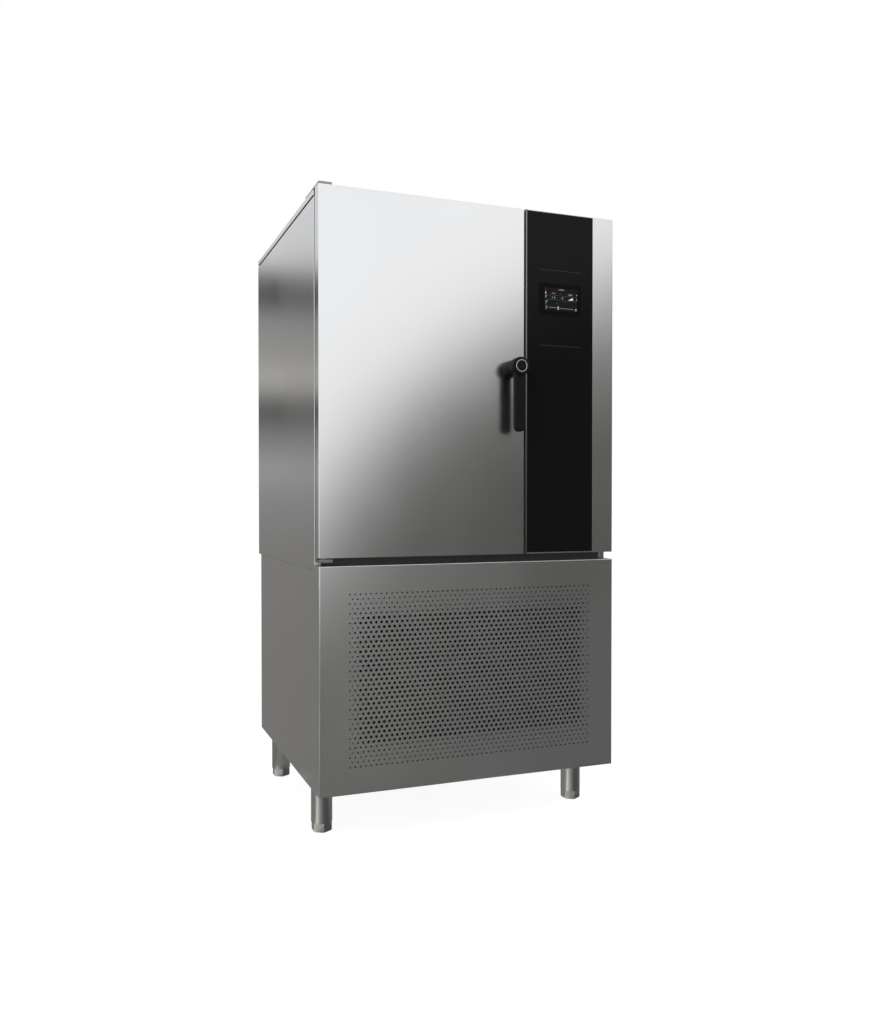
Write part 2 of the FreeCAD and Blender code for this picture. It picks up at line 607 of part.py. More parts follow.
def disc(sketch, x, y, radius):
    circle = Part.Circle(Vector(float(x), float(y), 0), Vector(0, 0, 1), float(radius))
    index = sketch.addGeometry(circle, False)
    constrain(sketch, radius, "Radius", index)
    constrain(sketch, x, "DistanceX", index, 3)
    constrain(sketch, y, "DistanceY", index, 3)


def extrude(body, kind, sketch, plane, length, forward):
    """A pad or pocket that runs along the plane's axis, forward or backward."""
    feature = body.newObject(f"PartDesign::{kind}", f"{sketch.Name}_{kind}")
    feature.Profile = sketch
    bind(feature, "Length", length)
    goes_forward = (NORMAL[plane] > 0) == (kind == "Pad")
    feature.Reversed = goes_forward != forward
    sketch.Visibility = False
    body.Tip = feature
    if kind == "Pocket":
        doc.recompute()
        cuts.append((feature, feature.BaseFeature))
    return feature


def pad(body, sketch, plane, length, forward=True):
    return extrude(body, "Pad", sketch, plane, length, forward)


def pocket(body, sketch, plane, length, forward=True):
    return extrude(body, "Pocket", sketch, plane, length, forward)


def prism(name, plane, level, length, corners):
    """A body padded from one outline, from its level along the plane's axis."""
    body = new_body(name)
    sketch = sketch_on(body, f"{name}_outline", plane, level)
    outline(sketch, corners)
    pad(body, sketch, plane, length)
    return body


def turned(name, corners):
    """A body turned about its own Z axis. Each corner is (radius, height)."""
    body = new_body(name)
    sketch = sketch_on(body, f"{name}_section", "XZ_Plane")
    outline(sketch, corners)
    feature = body.newObject("PartDesign::Revolution", f"{name}_turned")
    feature.Profile = sketch
    feature.ReferenceAxis = (sketch, ["V_Axis"])
    feature.Angle = 360
    body.Tip = feature
    return body


def dress(body, kind, size, chosen):
    """A fillet or chamfer on the edges of the body's tip that pass the test."""
    doc.recompute()
    base = body.Tip
    edges = [f"Edge{i}" for i, edge in enumerate(base.Shape.Edges, start=1) if chosen(edge)]
    feature = body.newObject(f"PartDesign::{kind}", f"{body.Name}_{kind}")
    feature.Base = (base, edges)
    bind(feature, "Radius" if kind == "Fillet" else "Size", size)
    body.Tip = feature
    return feature


def repeat(body, kind, feature, axis, span, count):
    """A polar or linear pattern of one feature about or along one of the body's own axes."""
    pattern = body.newObject(f"PartDesign::{kind}", f"{body.Name}_{kind}")
    pattern.Originals = [feature]
    polar = kind == "PolarPattern"
    setattr(pattern, "Axis" if polar else "Direction", (origin_feature(body, axis), [""]))
    bind(pattern, "Angle" if polar else "Length", span)
    bind(pattern, "Occurrences", count)
    body.Tip = pattern
    return pattern


def facing(body, x, y, z, rotation):
    """A body made at the origin, turned and set in its place."""
    body.Placement = Placement(Vector(), rotation)
    return seat(body, x, y, z)


nodes = {}


def node(name, item):
    item.Label = name
    nodes[name] = item
    return item


# ---------------------------------------------------------------- legs


def leg(name, x, y):
    """Round tube with a threaded plug in its lower end."""
    inside = leg_radius - leg_wall
    bore = stud_radius + shaft_gap
    corners = [(bore, foot_height), (leg_radius, foot_height), (leg_radius, leg_height),
               (inside, leg_height), (inside, foot_height + leg_plug),
               (bore, foot_height + leg_plug)]
    return seat(turned(name, corners), x, y, 0.0)


HEX_FLAT = math.sqrt(3) / 2


def foot(name, x, y):
    """Hexagonal adjuster with a bevelled bottom, and the screw that turns in the leg's plug."""
    body = new_body(name)
    sketch = sketch_on(body, f"{name}_hexagon", "XY_Plane")
    flat = foot_radius * HEX_FLAT
    corners = [(0.0, -foot_radius), (flat, -foot_radius / 2), (flat, foot_radius / 2)]
    corners += [(0.0, foot_radius), (-flat, foot_radius / 2), (-flat, -foot_radius / 2)]
    outline(sketch, corners)
    pad(body, sketch, "XY_Plane", foot_height)
    dress(body, "Chamfer", foot_chamfer, lambda edge: edge.BoundBox.ZMax < 0.001)
    screw = sketch_on(body, f"{name}_screw", "XY_Plane", foot_height)
    disc(screw, 0.0, 0.0, stud_radius)
    pad(body, screw, "XY_Plane", stud_length)
    return node(name, seat(body, x, y, 0.0))


CORNERS = {
    "front_left": (leg_inset - half, front + leg_front),
    "front_right": (half - leg_inset, front + leg_front),
    "rear_left": (leg_inset - half, base_rear - leg_rear),
    "rear_right": (half - leg_inset, base_rear - leg_rear),
}
node("legs", group("leg_tubes", [leg(f"leg_{name}", *spot) for name, spot in CORNERS.items()]))
for corner_name, corner_spot in CORNERS.items():
    foot(f"foot_{corner_name}", *corner_spot)

# ---------------------------------------------------------------- where pipes cross the walls


def passage(name, low, high):
    """The drain's hole and the duct for the two rising lines, between two levels."""
    hole = rod(f"{name}_drain", "z", (drain_x, drain_y, low), drain_radius + line_gap, high - low)
    side = suction_radius + line_gap
    duct = block(f"{name}_duct", (liquid_x - side, suction_x + side), (line_y - side, line_y + side),
                 (low, high))
    return [hole, duct]


# ---------------------------------------------------------------- base housing

MORE = 5.0  # how far a cutting tool runs past the face that it cuts


def base_tray():
    """Folded pan that everything in the base stands on."""
    outside = block("tray_outside", (tray_left, -tray_left), (tray_front, tray_back),
                    (leg_height, leg_height + tray_rim))
    inside = block("tray_inside", (tray_left + tray_sheet, -tray_left - tray_sheet),
                   (tray_front + tray_sheet, tray_back - tray_sheet),
                   (leg_height + tray_sheet, leg_height + tray_rim + MORE))
    hole = rod("tray_drain_hole", "z", (drain_x, drain_y, leg_height - MORE),
               drain_radius + line_gap, tray_sheet + 2 * MORE)
    node("base_tray", cut("tray", outside, [inside, hole]))


def base_side(name, outer, inward):
    """Side panel with its rear edge folded inward. inward is +1 on the left side."""
    y_from, y_to = front + grille_return, base_rear
    corners = [
        (outer, y_from),
        (outer + inward * skin, y_from),
        (outer + inward * skin, y_to - skin),
        (outer + inward * fold, y_to - skin),
        (outer + inward * fold, y_to),
        (outer, y_to, bend_radius),
    ]
    node(name, prism(name, "XY_Plane", leg_height, base_height, corners))


def base_rear_panel():
    """Rear panel with two columns of ventilation slots."""
    bottom = leg_height
    body = new_body("base_rear_panel")
    sheet_sketch = sketch_on(body, "rear_sheet", "XZ_Plane", base_rear - 2 * skin)
    rectangle(sheet_sketch, (tray_left, -tray_left), (bottom, deck_level - deck_sheet))
    pad(body, sheet_sketch, "XZ_Plane", skin)
    slots = sketch_on(body, "rear_slots", "XZ_Plane", base_rear - 2 * skin)
    low = leg_height + louvre_first
    for middle in (-width / 4, width / 4):
        rectangle(slots, (middle - louvre_width / 2, middle + louvre_width / 2),
                  (low, low + louvre_height))
    slot = pocket(body, slots, "XZ_Plane", skin)
    repeat(body, "LinearPattern", slot, "Z_Axis", (louvre_rows - 1) * louvre_pitch, louvre_rows)
    gland_hole = rod("gland_hole", "y", (gland_x, base_rear - MORE, gland_z),
                     gland_radius * GLAND_THREAD + fit_gap, 2 * MORE)
    node("base_rear_panel", cut("rear_panel", body, [gland_hole]))


def hole_radius(column, columns, row, rows):
    """Grille holes grow quickly from the margin of the field, then swell in one soft wave."""
    grow = float(hole_grow)
    from_side = min(1.0, (min(column, columns - 1 - column) + 1) / grow)
    from_end = min(1.0, (min(row, rows - 1 - row) + 0.5) / grow)
    wave = float(hole_wave) * math.sin(2 * math.pi * (column + row) / columns)
    large = float(hole_large) - float(hole_wave) + wave
    return float(hole_small) + (large - float(hole_small)) * from_side * from_end


def grille_holes():
    """The staggered field: every second row has one hole less and sits half a pitch over."""
    rows, columns = int(float(hole_rows)), int(float(hole_columns))
    pitch_x, pitch_z = float(hole_pitch_across), float(hole_pitch_up)
    bottom = float(leg_height) + float(field_bottom)
    prisms = []
    for row in range(rows):
        in_row = columns - row % 2
        for column in range(in_row):
            x = (column - (in_row - 1) / 2) * pitch_x
            z = bottom + row * pitch_z
            radius = hole_radius(column, in_row, row, rows)
            ring = [Vector(x + radius * math.sin(turn * math.pi / 3), float(front) - MORE,
                           z + radius * math.cos(turn * math.pi / 3)) for turn in range(7)]
            face = Part.Face(Part.makePolygon(ring))
            prisms.append(face.extrude(Vector(0, 2 * MORE, 0)))
    return Part.makeCompound(prisms)


def base_front_grille():
    """Front panel that wraps round both corners, with the graded field of holes.

    Above the deck its sides stop in front of the cabinet.
    """
    inside_fold = front + grille_fold
    wrap = prism(
        "grille_wrap", "XY_Plane", leg_height, lip_level - leg_height,
        [(-half, front, bend_radius), (half, front, bend_radius),
         (half, front + grille_return), (half - skin, front + grille_return),
         (half - skin, front + skin), (skin - half, front + skin),
         (skin - half, front + grille_return), (-half, front + grille_return)])
    lip = block("grille_lip", (skin - half, half - skin), (front + skin, inside_fold),
                (lip_level - skin, lip_level))
    sill = block("grille_sill", (skin - half, half - skin), (front + skin, inside_fold),
                 (leg_height, leg_height + skin))
    step = block("grille_step", (-half - MORE, half + MORE),
                 (body_front - fit_gap, front + grille_return + MORE),
                 (deck_level, lip_level + MORE))
    field = doc.addObject("Part::Feature", "grille_field")
    field.Shape = grille_holes()
    panel = fuse("grille_sheet", [wrap, lip, sill])
    node("base_front_grille", cut("grille", panel, [step, field]))


def base_posts():
    """Four angle posts that carry the deck."""
    low, high = leg_height + tray_sheet, deck_level - deck_sheet
    left, right = tray_left + tray_sheet + fit_gap, -tray_left - tray_sheet - fit_gap
    near, far = tray_front + tray_sheet + fit_gap, tray_back - tray_sheet - fit_gap
    spots = [(left, near, 0), (right, near, 90), (right, far, 180), (left, far, 270)]
    corners = [(0.0, 0.0), (post_width, 0.0), (post_width, tray_sheet), (tray_sheet, tray_sheet),
               (tray_sheet, post_width), (0.0, post_width)]
    posts = []
    for number, (x, y, turn) in enumerate(spots, start=1):
        post = prism(f"post_{number}", "XY_Plane", 0.0, high - low, corners)
        posts.append(facing(post, x, y, low, Rotation(Vector(0, 0, 1), turn)))
    node("base_posts", group("posts", posts))


def base_deck():
    """Plate on the posts, under the cabinet."""
    plate = block("deck_plate", (tray_left, -tray_left), (tray_front, tray_back + skin),
                  (deck_level - deck_sheet, deck_level))
    holes = passage("deck_hole", deck_level - deck_sheet - MORE, deck_level + MORE)
    node("base_deck", cut("deck", plate, holes))


# Pieces of the mains gland, as shares of the radius of its nut, and its cap as a share of the nut.
GLAND_THREAD = 0.75
GLAND_NUT = 0.8
GLAND_CAP = 0.82
GLAND_CAP_LENGTH = 1.4

base_tray()
base_side("base_side_left", -half, 1)
base_side("base_side_right", half, -1)
base_rear_panel()
base_front_grille()
base_posts()
base_deck()

# ---------------------------------------------------------------- refrigeration unit


def compressor():
    """Hermetic shell turned from its profile, with a square foot plate and a terminal box."""
    shell = turned("compressor_shell", [
        (0.0, 0.0), (pot_radius, 0.0), (pot_radius, pot_height - pot_dome),
        (pot_crown, pot_height), (0.0, pot_height)])
    seat(shell, pot_x, pot_y, pot_z)
    plate = block("compressor_plate", (pot_x - pot_feet / 2, pot_x + pot_feet / 2),
                  (pot_y - pot_feet / 2, pot_y + pot_feet / 2), (pot_z, pot_z + 2 * skin))
    terminals = block("compressor_terminals",
                      (pot_x - terminal_width / 2, pot_x + terminal_width / 2),
                      (pot_y - pot_radius - terminal_reach, pot_y),
                      (pot_z + terminal_rise, pot_z + terminal_rise + terminal_height))
    node("compressor", fuse("compressor_parts", [shell, plate, terminals]))
    reach = pot_feet / 2 - grommet_radius - grommet_inset
    mounts = [many_sided(f"grommet_{i}", "z", (pot_x + a * reach, pot_y + b * reach, unit_floor),
                         grommet_radius, grommet_height, 12)
              for i, (a, b) in enumerate([(-1, -1), (1, -1), (1, 1), (-1, 1)], start=1)]
    node("compressor_mounts", group("grommets", mounts))


def liquid_receiver():
    """Upright pressure vessel with a ring foot and a raised valve plate."""
    ring, shoulder = receiver_ring, receiver_height - receiver_end
    corners = [(0.0, 0.0), (ring, 0.0), (ring, receiver_end), (receiver_radius, receiver_end),
               (receiver_radius, shoulder), (ring, shoulder), (ring, receiver_height),
               (0.0, receiver_height)]
    body = turned("receiver_shell", corners)
    node("liquid_receiver", seat(body, receiver_x, line_y, unit_floor))


SIDES = 8  # flats round a pipe
BEND_CUT = 0.55  # slanting corner of a return bend, in radii of the bend


def pipe(name, radius, points, bend):
    """Pipe along straight runs, each corner taken in one short slanting run."""
    path = [Vector(*(float(value) for value in point)) for point in points]
    route = [path[0]]
    for before, corner, after in zip(path, path[1:], path[2:]):
        route.append(corner - (corner - before).normalize() * float(bend))
        route.append(corner + (after - corner).normalize() * float(bend))
    route.append(path[-1])
    heading = (path[1] - path[0]).normalize()
    across = Vector(1, 0, 0) if abs(heading.x) < 0.5 else Vector(0, 0, 1)
    other = heading.cross(across)
    angles = [2 * math.pi * side / SIDES for side in range(SIDES + 1)]
    ring = [path[0] + across * float(radius) * math.cos(angle) + other * float(radius) * math.sin(angle)
            for angle in angles]
    right_corners = 1
    tube = doc.addObject("Part::Feature", name)
    line = Part.makePolygon(route)
    tube.Shape = line.makePipeShell([Part.makePolygon(ring)], True, False, right_corners)
    return tube


def u_bend(name, foot, outward, radius):
    """Return bend between two coil tubes, one above the other, on an end plate."""
    x, y, z = foot
    dx, dy = (side * BEND_LEGS * radius for side in outward)
    points = [(x, y, z), (x + dx, y + dy, z), (x + dx, y + dy, z + 2 * radius),
              (x, y, z + 2 * radius)]
    return pipe(name, coil_tube, points, radius * BEND_CUT)


def finned_block(name, x, y, z, along):
    """Comb of fins on a spine, padded upright. The tubes run along x or y, square to the fins."""
    run, deep = (x, y) if along == "x" else (y, x)
    count = int((float(run[1]) - float(run[0])) / float(fin_pitch))
    spine = deep[1] - fin_sheet
    teeth = [(run[0], spine)]
    for number in range(count):
        near = run[0] + (number + 0.5) * fin_pitch
        teeth += [(near, spine), (near, deep[0]), (near + fin_sheet, deep[0]),
                  (near + fin_sheet, spine)]
    teeth += [(run[1], spine), (run[1], deep[1]), (run[0], deep[1])]
    corners = teeth if along == "x" else [(second, first) for first, second in teeth]
    return prism(name, "XY_Plane", z[0], z[1] - z[0], corners)


def condenser():
    """Finned block between end plates that stand on the tray, with its U bends, and its shroud."""
    x0, x1 = condenser_x, condenser_x + condenser_width
    y0, y1 = condenser_y, condenser_y + condenser_depth
    z0, z1 = condenser_z, condenser_z + condenser_height
    fins = finned_block("condenser_fins", (x0, x1), (y0 + fin_inset, y1 - fin_inset), (z0, z1), "x")
    plates = [block(f"condenser_plate_{i}", (x, x + coil_plate), (y0, y1), (unit_floor, z1))
              for i, x in enumerate((x0 - coil_plate, x1))]
    middle = y0 + condenser_depth / 2
    first = z0 + condenser_bend_first
    bends = [u_bend(f"condenser_bend_{i}", (x1 + coil_plate, middle, first + i * condenser_bend_step),
                    (1, 0), bend_reach) for i in range(int(float(condenser_bends)))]
    node("condenser_coil", fuse("condenser_parts", [fins, *plates, *bends]))

    back = shroud_back
    box = block("shroud_box", (x0, x1), (y1, back), (z0, z1))
    hollow = block("shroud_hollow", (x0 + 2 * skin, x1 - 2 * skin), (y1 - MORE, back - skin),
                   (z0 + 2 * skin, z1 - 2 * skin))
    port = rod("shroud_port", "y", (fan_axis_x, y1, fan_axis_z), shroud_port_radius,
               shroud_depth + MORE)
    node("condenser_shroud", cut("shroud", box, [hollow, port]))


def fan(name, tip, chord):
    """Hub and five flat paddles about the Z axis, each set at the same pitch to the air."""
    hub = rod(f"{name}_hub", "z", (0.0, 0.0, -hub_depth / 2), hub_radius, hub_depth)
    bore = rod(f"{name}_bore", "z", (0.0, 0.0, -hub_depth), shaft_radius + shaft_gap, 2 * hub_depth)
    root, corner = hub_radius - blade_root, chord * BLADE_CORNER
    paddle = [(root, -chord / 4), (tip - 2 * corner, -chord / 2), (tip, corner - chord / 2),
              (tip, chord / 2 - 2 * corner), (tip - corner, chord / 2), (root, chord / 4)]
    blades = []
    for number in range(BLADES):
        blade = prism(f"{name}_blade_{number}", "XY_Plane", -blade_sheet / 2, blade_sheet, paddle)
        turn = Rotation(Vector(0, 0, 1), 360 * number / BLADES) * Rotation(Vector(1, 0, 0), PITCH)
        blades.append(facing(blade, 0.0, 0.0, 0.0, turn))
    return cut(name, fuse(f"{name}_solid", [hub, *blades]), [bore])


def motor_bridge(name, reach, rise):
    """Strap bent to a bridge over a fan port, made about the Z axis: feet at 0, back at rise."""
    foot, sheet = reach + bridge_foot, bridge_sheet
    return prism(name, "XZ_Plane", -bridge_width / 2, bridge_width, [
        (-foot, 0.0), (-reach, 0.0), (-reach, rise - sheet), (reach, rise - sheet),
        (reach, 0.0), (foot, 0.0), (foot, sheet), (reach + sheet, sheet),
        (reach + sheet, rise), (-reach - sheet, rise), (-reach - sheet, sheet), (-foot, sheet)])


def motor(name, rise, back):
    """Motor on its bridge: the shaft reaches forward, through the fan, from the back of the bridge."""
    can = rod(f"{name}_can", "z", (0.0, 0.0, rise), motor_radius, motor_length)
    shaft = rod(f"{name}_shaft", "z", (0.0, 0.0, back), shaft_radius, rise - back)
    return can, shaft


def set_motor(name, reach, rise, back, spot, rotation):
    bridge = motor_bridge(f"{name}_bridge", reach, rise)
    whole = fuse(name, [bridge, *motor(name, rise, back)])
    return facing(whole, *spot, rotation)


BLADES = 5
BLADE_CORNER = 0.2  # cut corner of a blade, as a share of its chord
PITCH = 20.0  # degrees
BACKWARD = Rotation(Vector(1, 0, 0), -90)  # turns a fan's Z axis to +Y
SIDEWAYS = Rotation(Vector(0, 1, 0), 90)  # turns a fan's Z axis to +X


def condenser_air():
    """Condenser fan in its shroud, and its motor on a bridge behind the port."""
    fan_y = shroud_back - hub_depth / 2
    body = fan("condenser_fan", condenser_fan_radius, condenser_fan_chord)
    node("condenser_fan", facing(body, fan_axis_x, fan_y, fan_axis_z, BACKWARD))
    node("condenser_fan_motor",
         set_motor("condenser_fan_motor", shroud_port_radius + bridge_margin, condenser_bridge,
                   shaft_short - hub_depth, (fan_axis_x, shroud_back, fan_axis_z), BACKWARD))


def refrigerant_lines():
    """Discharge, condensate, liquid and suction lines, each one tube."""
    coil_end = condenser_x + condenser_width + coil_plate
    coil_mid = condenser_y + condenser_depth / 2
    high = pot_z + discharge_rise
    pot_side = pot_x + pot_radius
    discharge = pipe("discharge_line", liquid_radius, [
        (pot_side, pot_y, high), (pot_side + discharge_reach, pot_y, high),
        (pot_side + discharge_reach, coil_mid, high), (coil_end, coil_mid, high)], line_bend)
    low = condenser_z + condensate_rise
    side = condenser_x - coil_plate - condensate_reach
    condensate = pipe("condensate_line", liquid_radius, [
        (condenser_x - coil_plate, coil_mid, low), (side, coil_mid, low), (side, line_y, low),
        (receiver_x - receiver_radius, line_y, low)], line_bend)
    run = deck_level - liquid_drop
    liquid = pipe("liquid_line", liquid_radius, [
        (liquid_x, line_y, manifold_level), (liquid_x, line_y, run), (receiver_x, line_y, run),
        (receiver_x, line_y, unit_floor + receiver_height)], line_bend)
    back = pot_z + suction_rise
    suction = pipe("suction_line", suction_radius, [
        (suction_x, line_y, manifold_level), (suction_x, line_y, back), (pot_x, line_y, back),
        (pot_x, pot_y + pot_radius, back)], line_bend)
    node("refrigerant_lines", group("lines", [discharge, condensate, liquid, suction]))


def electrical_box():
    """Steel box on the right-hand side panel, with a lid that stands proud."""
    x1 = half - skin
    y0 = drain_y + drain_radius + electrical_gap
    z0 = unit_floor + electrical_rise
    case = block("electrical_case", (x1 - electrical_width, x1), (y0, y0 + electrical_depth),
                 (z0, z0 + electrical_height))
    lid = block("electrical_lid", (x1 - electrical_width - lid_depth, x1 - electrical_width),
                (y0 - lid_lap, y0 + electrical_depth + lid_lap),
                (z0 - lid_lap, z0 + electrical_height + lid_lap))
    node("electrical_box", fuse("electrical", [case, lid]))


def mains_gland():
    """Cable gland on the rear panel: thread and lock nut inside, nut and clamping cap outside."""
    panel_in, panel_out = base_rear - 2 * skin, base_rear - skin
    nut = gland_radius * GLAND_NUT
    pieces = [
        many_sided("gland_thread", "y", (gland_x, panel_in - nut, gland_z),
                   gland_radius * GLAND_THREAD, nut + skin, 12),
        many_sided("gland_lock", "y", (gland_x, panel_in - nut / 2, gland_z), gland_radius,
                   nut / 2, 6),
        many_sided("gland_nut", "y", (gland_x, panel_out, gland_z), gland_radius, nut, 6),
        many_sided("gland_cap", "y", (gland_x, panel_out + nut, gland_z),
                   gland_radius * GLAND_CAP, nut * GLAND_CAP_LENGTH, 12),
    ]
    bore = rod("gland_bore", "y", (gland_x, panel_in - 2 * nut, gland_z), cable_radius, 6 * nut)
    node("mains_gland", cut("gland", fuse("gland_solid", pieces), [bore]))


compressor()
liquid_receiver()
condenser()
condenser_air()
refrigerant_lines()
electrical_box()
mains_gland()

# ---------------------------------------------------------------- cabinet shell


def chamber_plan(grow):
    """The chamber seen from above: the door opening in front, the full width behind."""
    cove = cove_radius + grow
    return [
        (chamber_left - grow, body_front),
        (opening_right + grow, body_front),
        (opening_right + grow, chamber_front - grow),
        (chamber_right + grow, chamber_front - grow, cove),
        (chamber_right + grow, chamber_back + grow, cove),
        (chamber_left - grow, chamber_back + grow, cove),
    ]


def cabinet_insulation():
    """Foamed body with the chamber and the door opening left free."""
    body = prism("insulation", "XY_Plane", foam_floor, foam_top - foam_floor, [
        (foam_left, foam_front), (-foam_left, foam_front), (-foam_left, foam_back),
        (foam_left, foam_back)])
    space = prism("insulation_space", "XY_Plane", chamber_floor - liner_sheet,
                  chamber_top - chamber_floor + 2 * liner_sheet, chamber_plan(liner_sheet))
    holes = passage("foam_hole", deck_level - MORE, chamber_floor + MORE)
    node("cabinet_insulation", cut("insulation_cut", body, [space, *holes]))


def inner_liner():
    """Welded chamber of thin sheet with rounded inner corners."""
    outside = prism("liner_outside", "XY_Plane", chamber_floor - liner_sheet,
                    chamber_top - chamber_floor + 2 * liner_sheet, chamber_plan(liner_sheet))
    inside = prism("liner_inside", "XY_Plane", chamber_floor, chamber_top - chamber_floor,
                   chamber_plan(0.0))
    throat = block("liner_throat", (chamber_left, opening_right),
                   (body_front - MORE, body_front + MORE), (chamber_floor, chamber_top))
    holes = passage("liner_hole", chamber_floor - MORE, chamber_floor + MORE)
    node("inner_liner", cut("liner", outside, [inside, throat, *holes]))


def cabinet_side(name, outer, inward):
    """Side panel with folded front and rear edges. inward is +1 on the left side."""
    corners = [
        (outer, body_front),
        (outer + inward * fold, body_front),
        (outer + inward * fold, body_front + skin),
        (outer + inward * skin, body_front + skin),
        (outer + inward * skin, rear - skin),
        (outer + inward * fold, rear - skin),
        (outer + inward * fold, rear),
        (outer, rear, bend_radius),
    ]
    node(name, prism(name, "XY_Plane", deck_level, side_top - deck_level, corners))


def front_frame():
    """Steel face round the door opening, between the folds of the side panels."""
    plate = block("frame_plate", (fold - half, half - fold), (body_front, body_front + skin),
                  (deck_level, side_top))
    hole = block("frame_hole", (chamber_left - liner_sheet, opening_right + liner_sheet),
                 (body_front - MORE, body_front + MORE),
                 (chamber_floor - liner_sheet, chamber_top + liner_sheet))
    node("front_frame", cut("frame", plate, [hole]))


def cabinet_back():
    node("cabinet_back", block("back", (foam_left, -foam_left), (foam_back, rear - skin),
                               (foam_floor, foam_top)))


def cabinet_underside():
    """Sheet under the foam, between the side panels, with holes for the pipes."""
    plate = block("underside_plate", (foam_left, -foam_left), (foam_front, rear - skin),
                  (deck_level, foam_floor))
    holes = passage("underside_hole", deck_level - MORE, foam_floor + MORE)
    node("cabinet_underside", cut("underside", plate, holes))


def cabinet_top():
    """Sheet over the foam with a raised rim, set in, that leaves a shadow gap under the cover."""
    plate = block("top_plate", (foam_left, -foam_left), (foam_front, rear - skin),
                  (foam_top, side_top))
    near = front + cover_setback + reveal_inset
    far = rear - reveal_inset
    left = reveal_inset - half
    rim = block("top_rim", (left, -left), (near, far), (side_top, body_top))
    well = block("top_well", (left + cover_return, -left - cover_return),
                 (near + cover_return, far - cover_return), (side_top - MORE, body_top + MORE))
    ring = cut("top_ring", rim, [well])
    node("cabinet_top", fuse("top_parts", [plate, ring]))


def top_cover():
    """Shallow folded lid whose lower edge returns inward and rests on the rim."""
    near = front + cover_setback
    outside = prism("cover_outside", "XY_Plane", body_top, cover_fold, [
        (-half, near, bend_radius), (half, near, bend_radius), (half, rear, bend_radius),
        (-half, rear, bend_radius)])
    inside = block("cover_inside", (skin - half, half - skin), (near + skin, rear - skin),
                   (body_top + skin, top_level - skin))
    mouth = block("cover_mouth", (cover_return - half, half - cover_return),
                  (near + cover_return, rear - cover_return), (body_top - MORE, body_top + MORE))
    node("top_cover", cut("cover", outside, [inside, mouth]))


cabinet_insulation()
inner_liner()
cabinet_side("cabinet_side_left", -half, 1)
cabinet_side("cabinet_side_right", half, -1)
front_frame()
cabinet_back()
cabinet_underside()
cabinet_top()
top_cover()

# ---------------------------------------------------------------- racks


def rack(name, side):
    """Two uprights with a ladder of angle runners. side is -1 on the left, +1 on the right."""
    edge = rack_middle + side * (tray_width / 2)
    inner = edge - side * (runner_ledge - runner_sheet)
    outer = edge + side * runner_sheet
    far = outer + side * upright_width
    height = runner_first + (runner_levels - 1) * runner_pitch + runner_rise + upright_above
    ends = (rack_front + upright_inset, rack_front + runner_length - upright_inset - upright_width)
    spans = [(y, y + upright_width) for y in ends]
    pieces = [block(f"{name}_upright_{i}", (outer, far) if side > 0 else (far, outer), span,
                    (chamber_floor, chamber_floor + height)) for i, span in enumerate(spans)]
    for level in range(int(float(runner_levels))):
        low = chamber_floor + runner_first + level * runner_pitch
        pieces.append(prism(f"{name}_runner_{level}", "XZ_Plane", rack_front, runner_length, [
            (inner, low), (outer, low), (outer, low + runner_rise), (edge, low + runner_rise),
            (edge, low + runner_sheet), (inner, low + runner_sheet)]))
    node(name, group(f"{name}_pieces", pieces))


rack("rack_left", -1)
rack("rack_right", 1)

# ---------------------------------------------------------------- air circulation

FANS = {
    "evaporator_fan_lower": chamber_floor + fan_lower,
    "evaporator_fan_upper": chamber_floor + fan_lower + fan_spacing,
}


GUARD_SIDES = 12
GUARD_RINGS = (1.0, 0.66, 0.32)  # rings of a fan guard, as shares of the outermost


def around(middle, size, shrink=0.0):
    return (middle - size / 2 + shrink, middle + size / 2 - shrink)


def air_baffle():
    """Folded screen between the trays and the evaporator, with two fan ports and return slots."""
    near, far = chamber_front + fit_gap, chamber_back - fit_gap
    tall = chamber_top - chamber_floor - 2 * fit_gap
    body = prism("air_baffle", "XY_Plane", chamber_floor + fit_gap, tall, [
        (baffle_x, near), (baffle_x + fold, near), (baffle_x + fold, near + skin),
        (baffle_x + skin, near + skin), (baffle_x + skin, far - skin),
        (baffle_x + fold, far - skin), (baffle_x + fold, far), (baffle_x, far)])
    ports = sketch_on(body, "baffle_ports", "YZ_Plane", baffle_x)
    for level in FANS.values():
        disc(ports, chamber_middle, level, fan_port_radius)
    for y in (near + slot_margin, far - slot_margin - slot_width):
        rectangle(ports, (y, y + slot_width), (chamber_floor + slot_end, chamber_top - slot_end))
    pocket(body, ports, "YZ_Plane", skin)
    node("air_baffle", body)


def guard_on(name, level):
    """Flat guard in front of a fan port: rings of flat wire tied by a cross."""
    x = baffle_x - guard_sheet
    outer = fan_port_radius + guard_ring
    bars = [block(f"{name}_level", (x, baffle_x), around(chamber_middle, 2 * outer - guard_ring),
                  around(level, guard_ring)),
            block(f"{name}_upright", (x, baffle_x), around(chamber_middle, guard_ring),
                  around(level, 2 * outer - guard_ring))]
    rings = []
    for number, share in enumerate(GUARD_RINGS):
        radius = outer * share
        start = (x, chamber_middle, level)
        rim = many_sided(f"{name}_rim_{number}", "x", start, radius, guard_sheet, GUARD_SIDES)
        hole = many_sided(f"{name}_hole_{number}", "x", (x - MORE, chamber_middle, level),
                          radius - guard_ring, guard_sheet + 2 * MORE, GUARD_SIDES)
        rings.append(cut(f"{name}_ring_{number}", rim, [hole]))
    return fuse(name, [*bars, *rings])


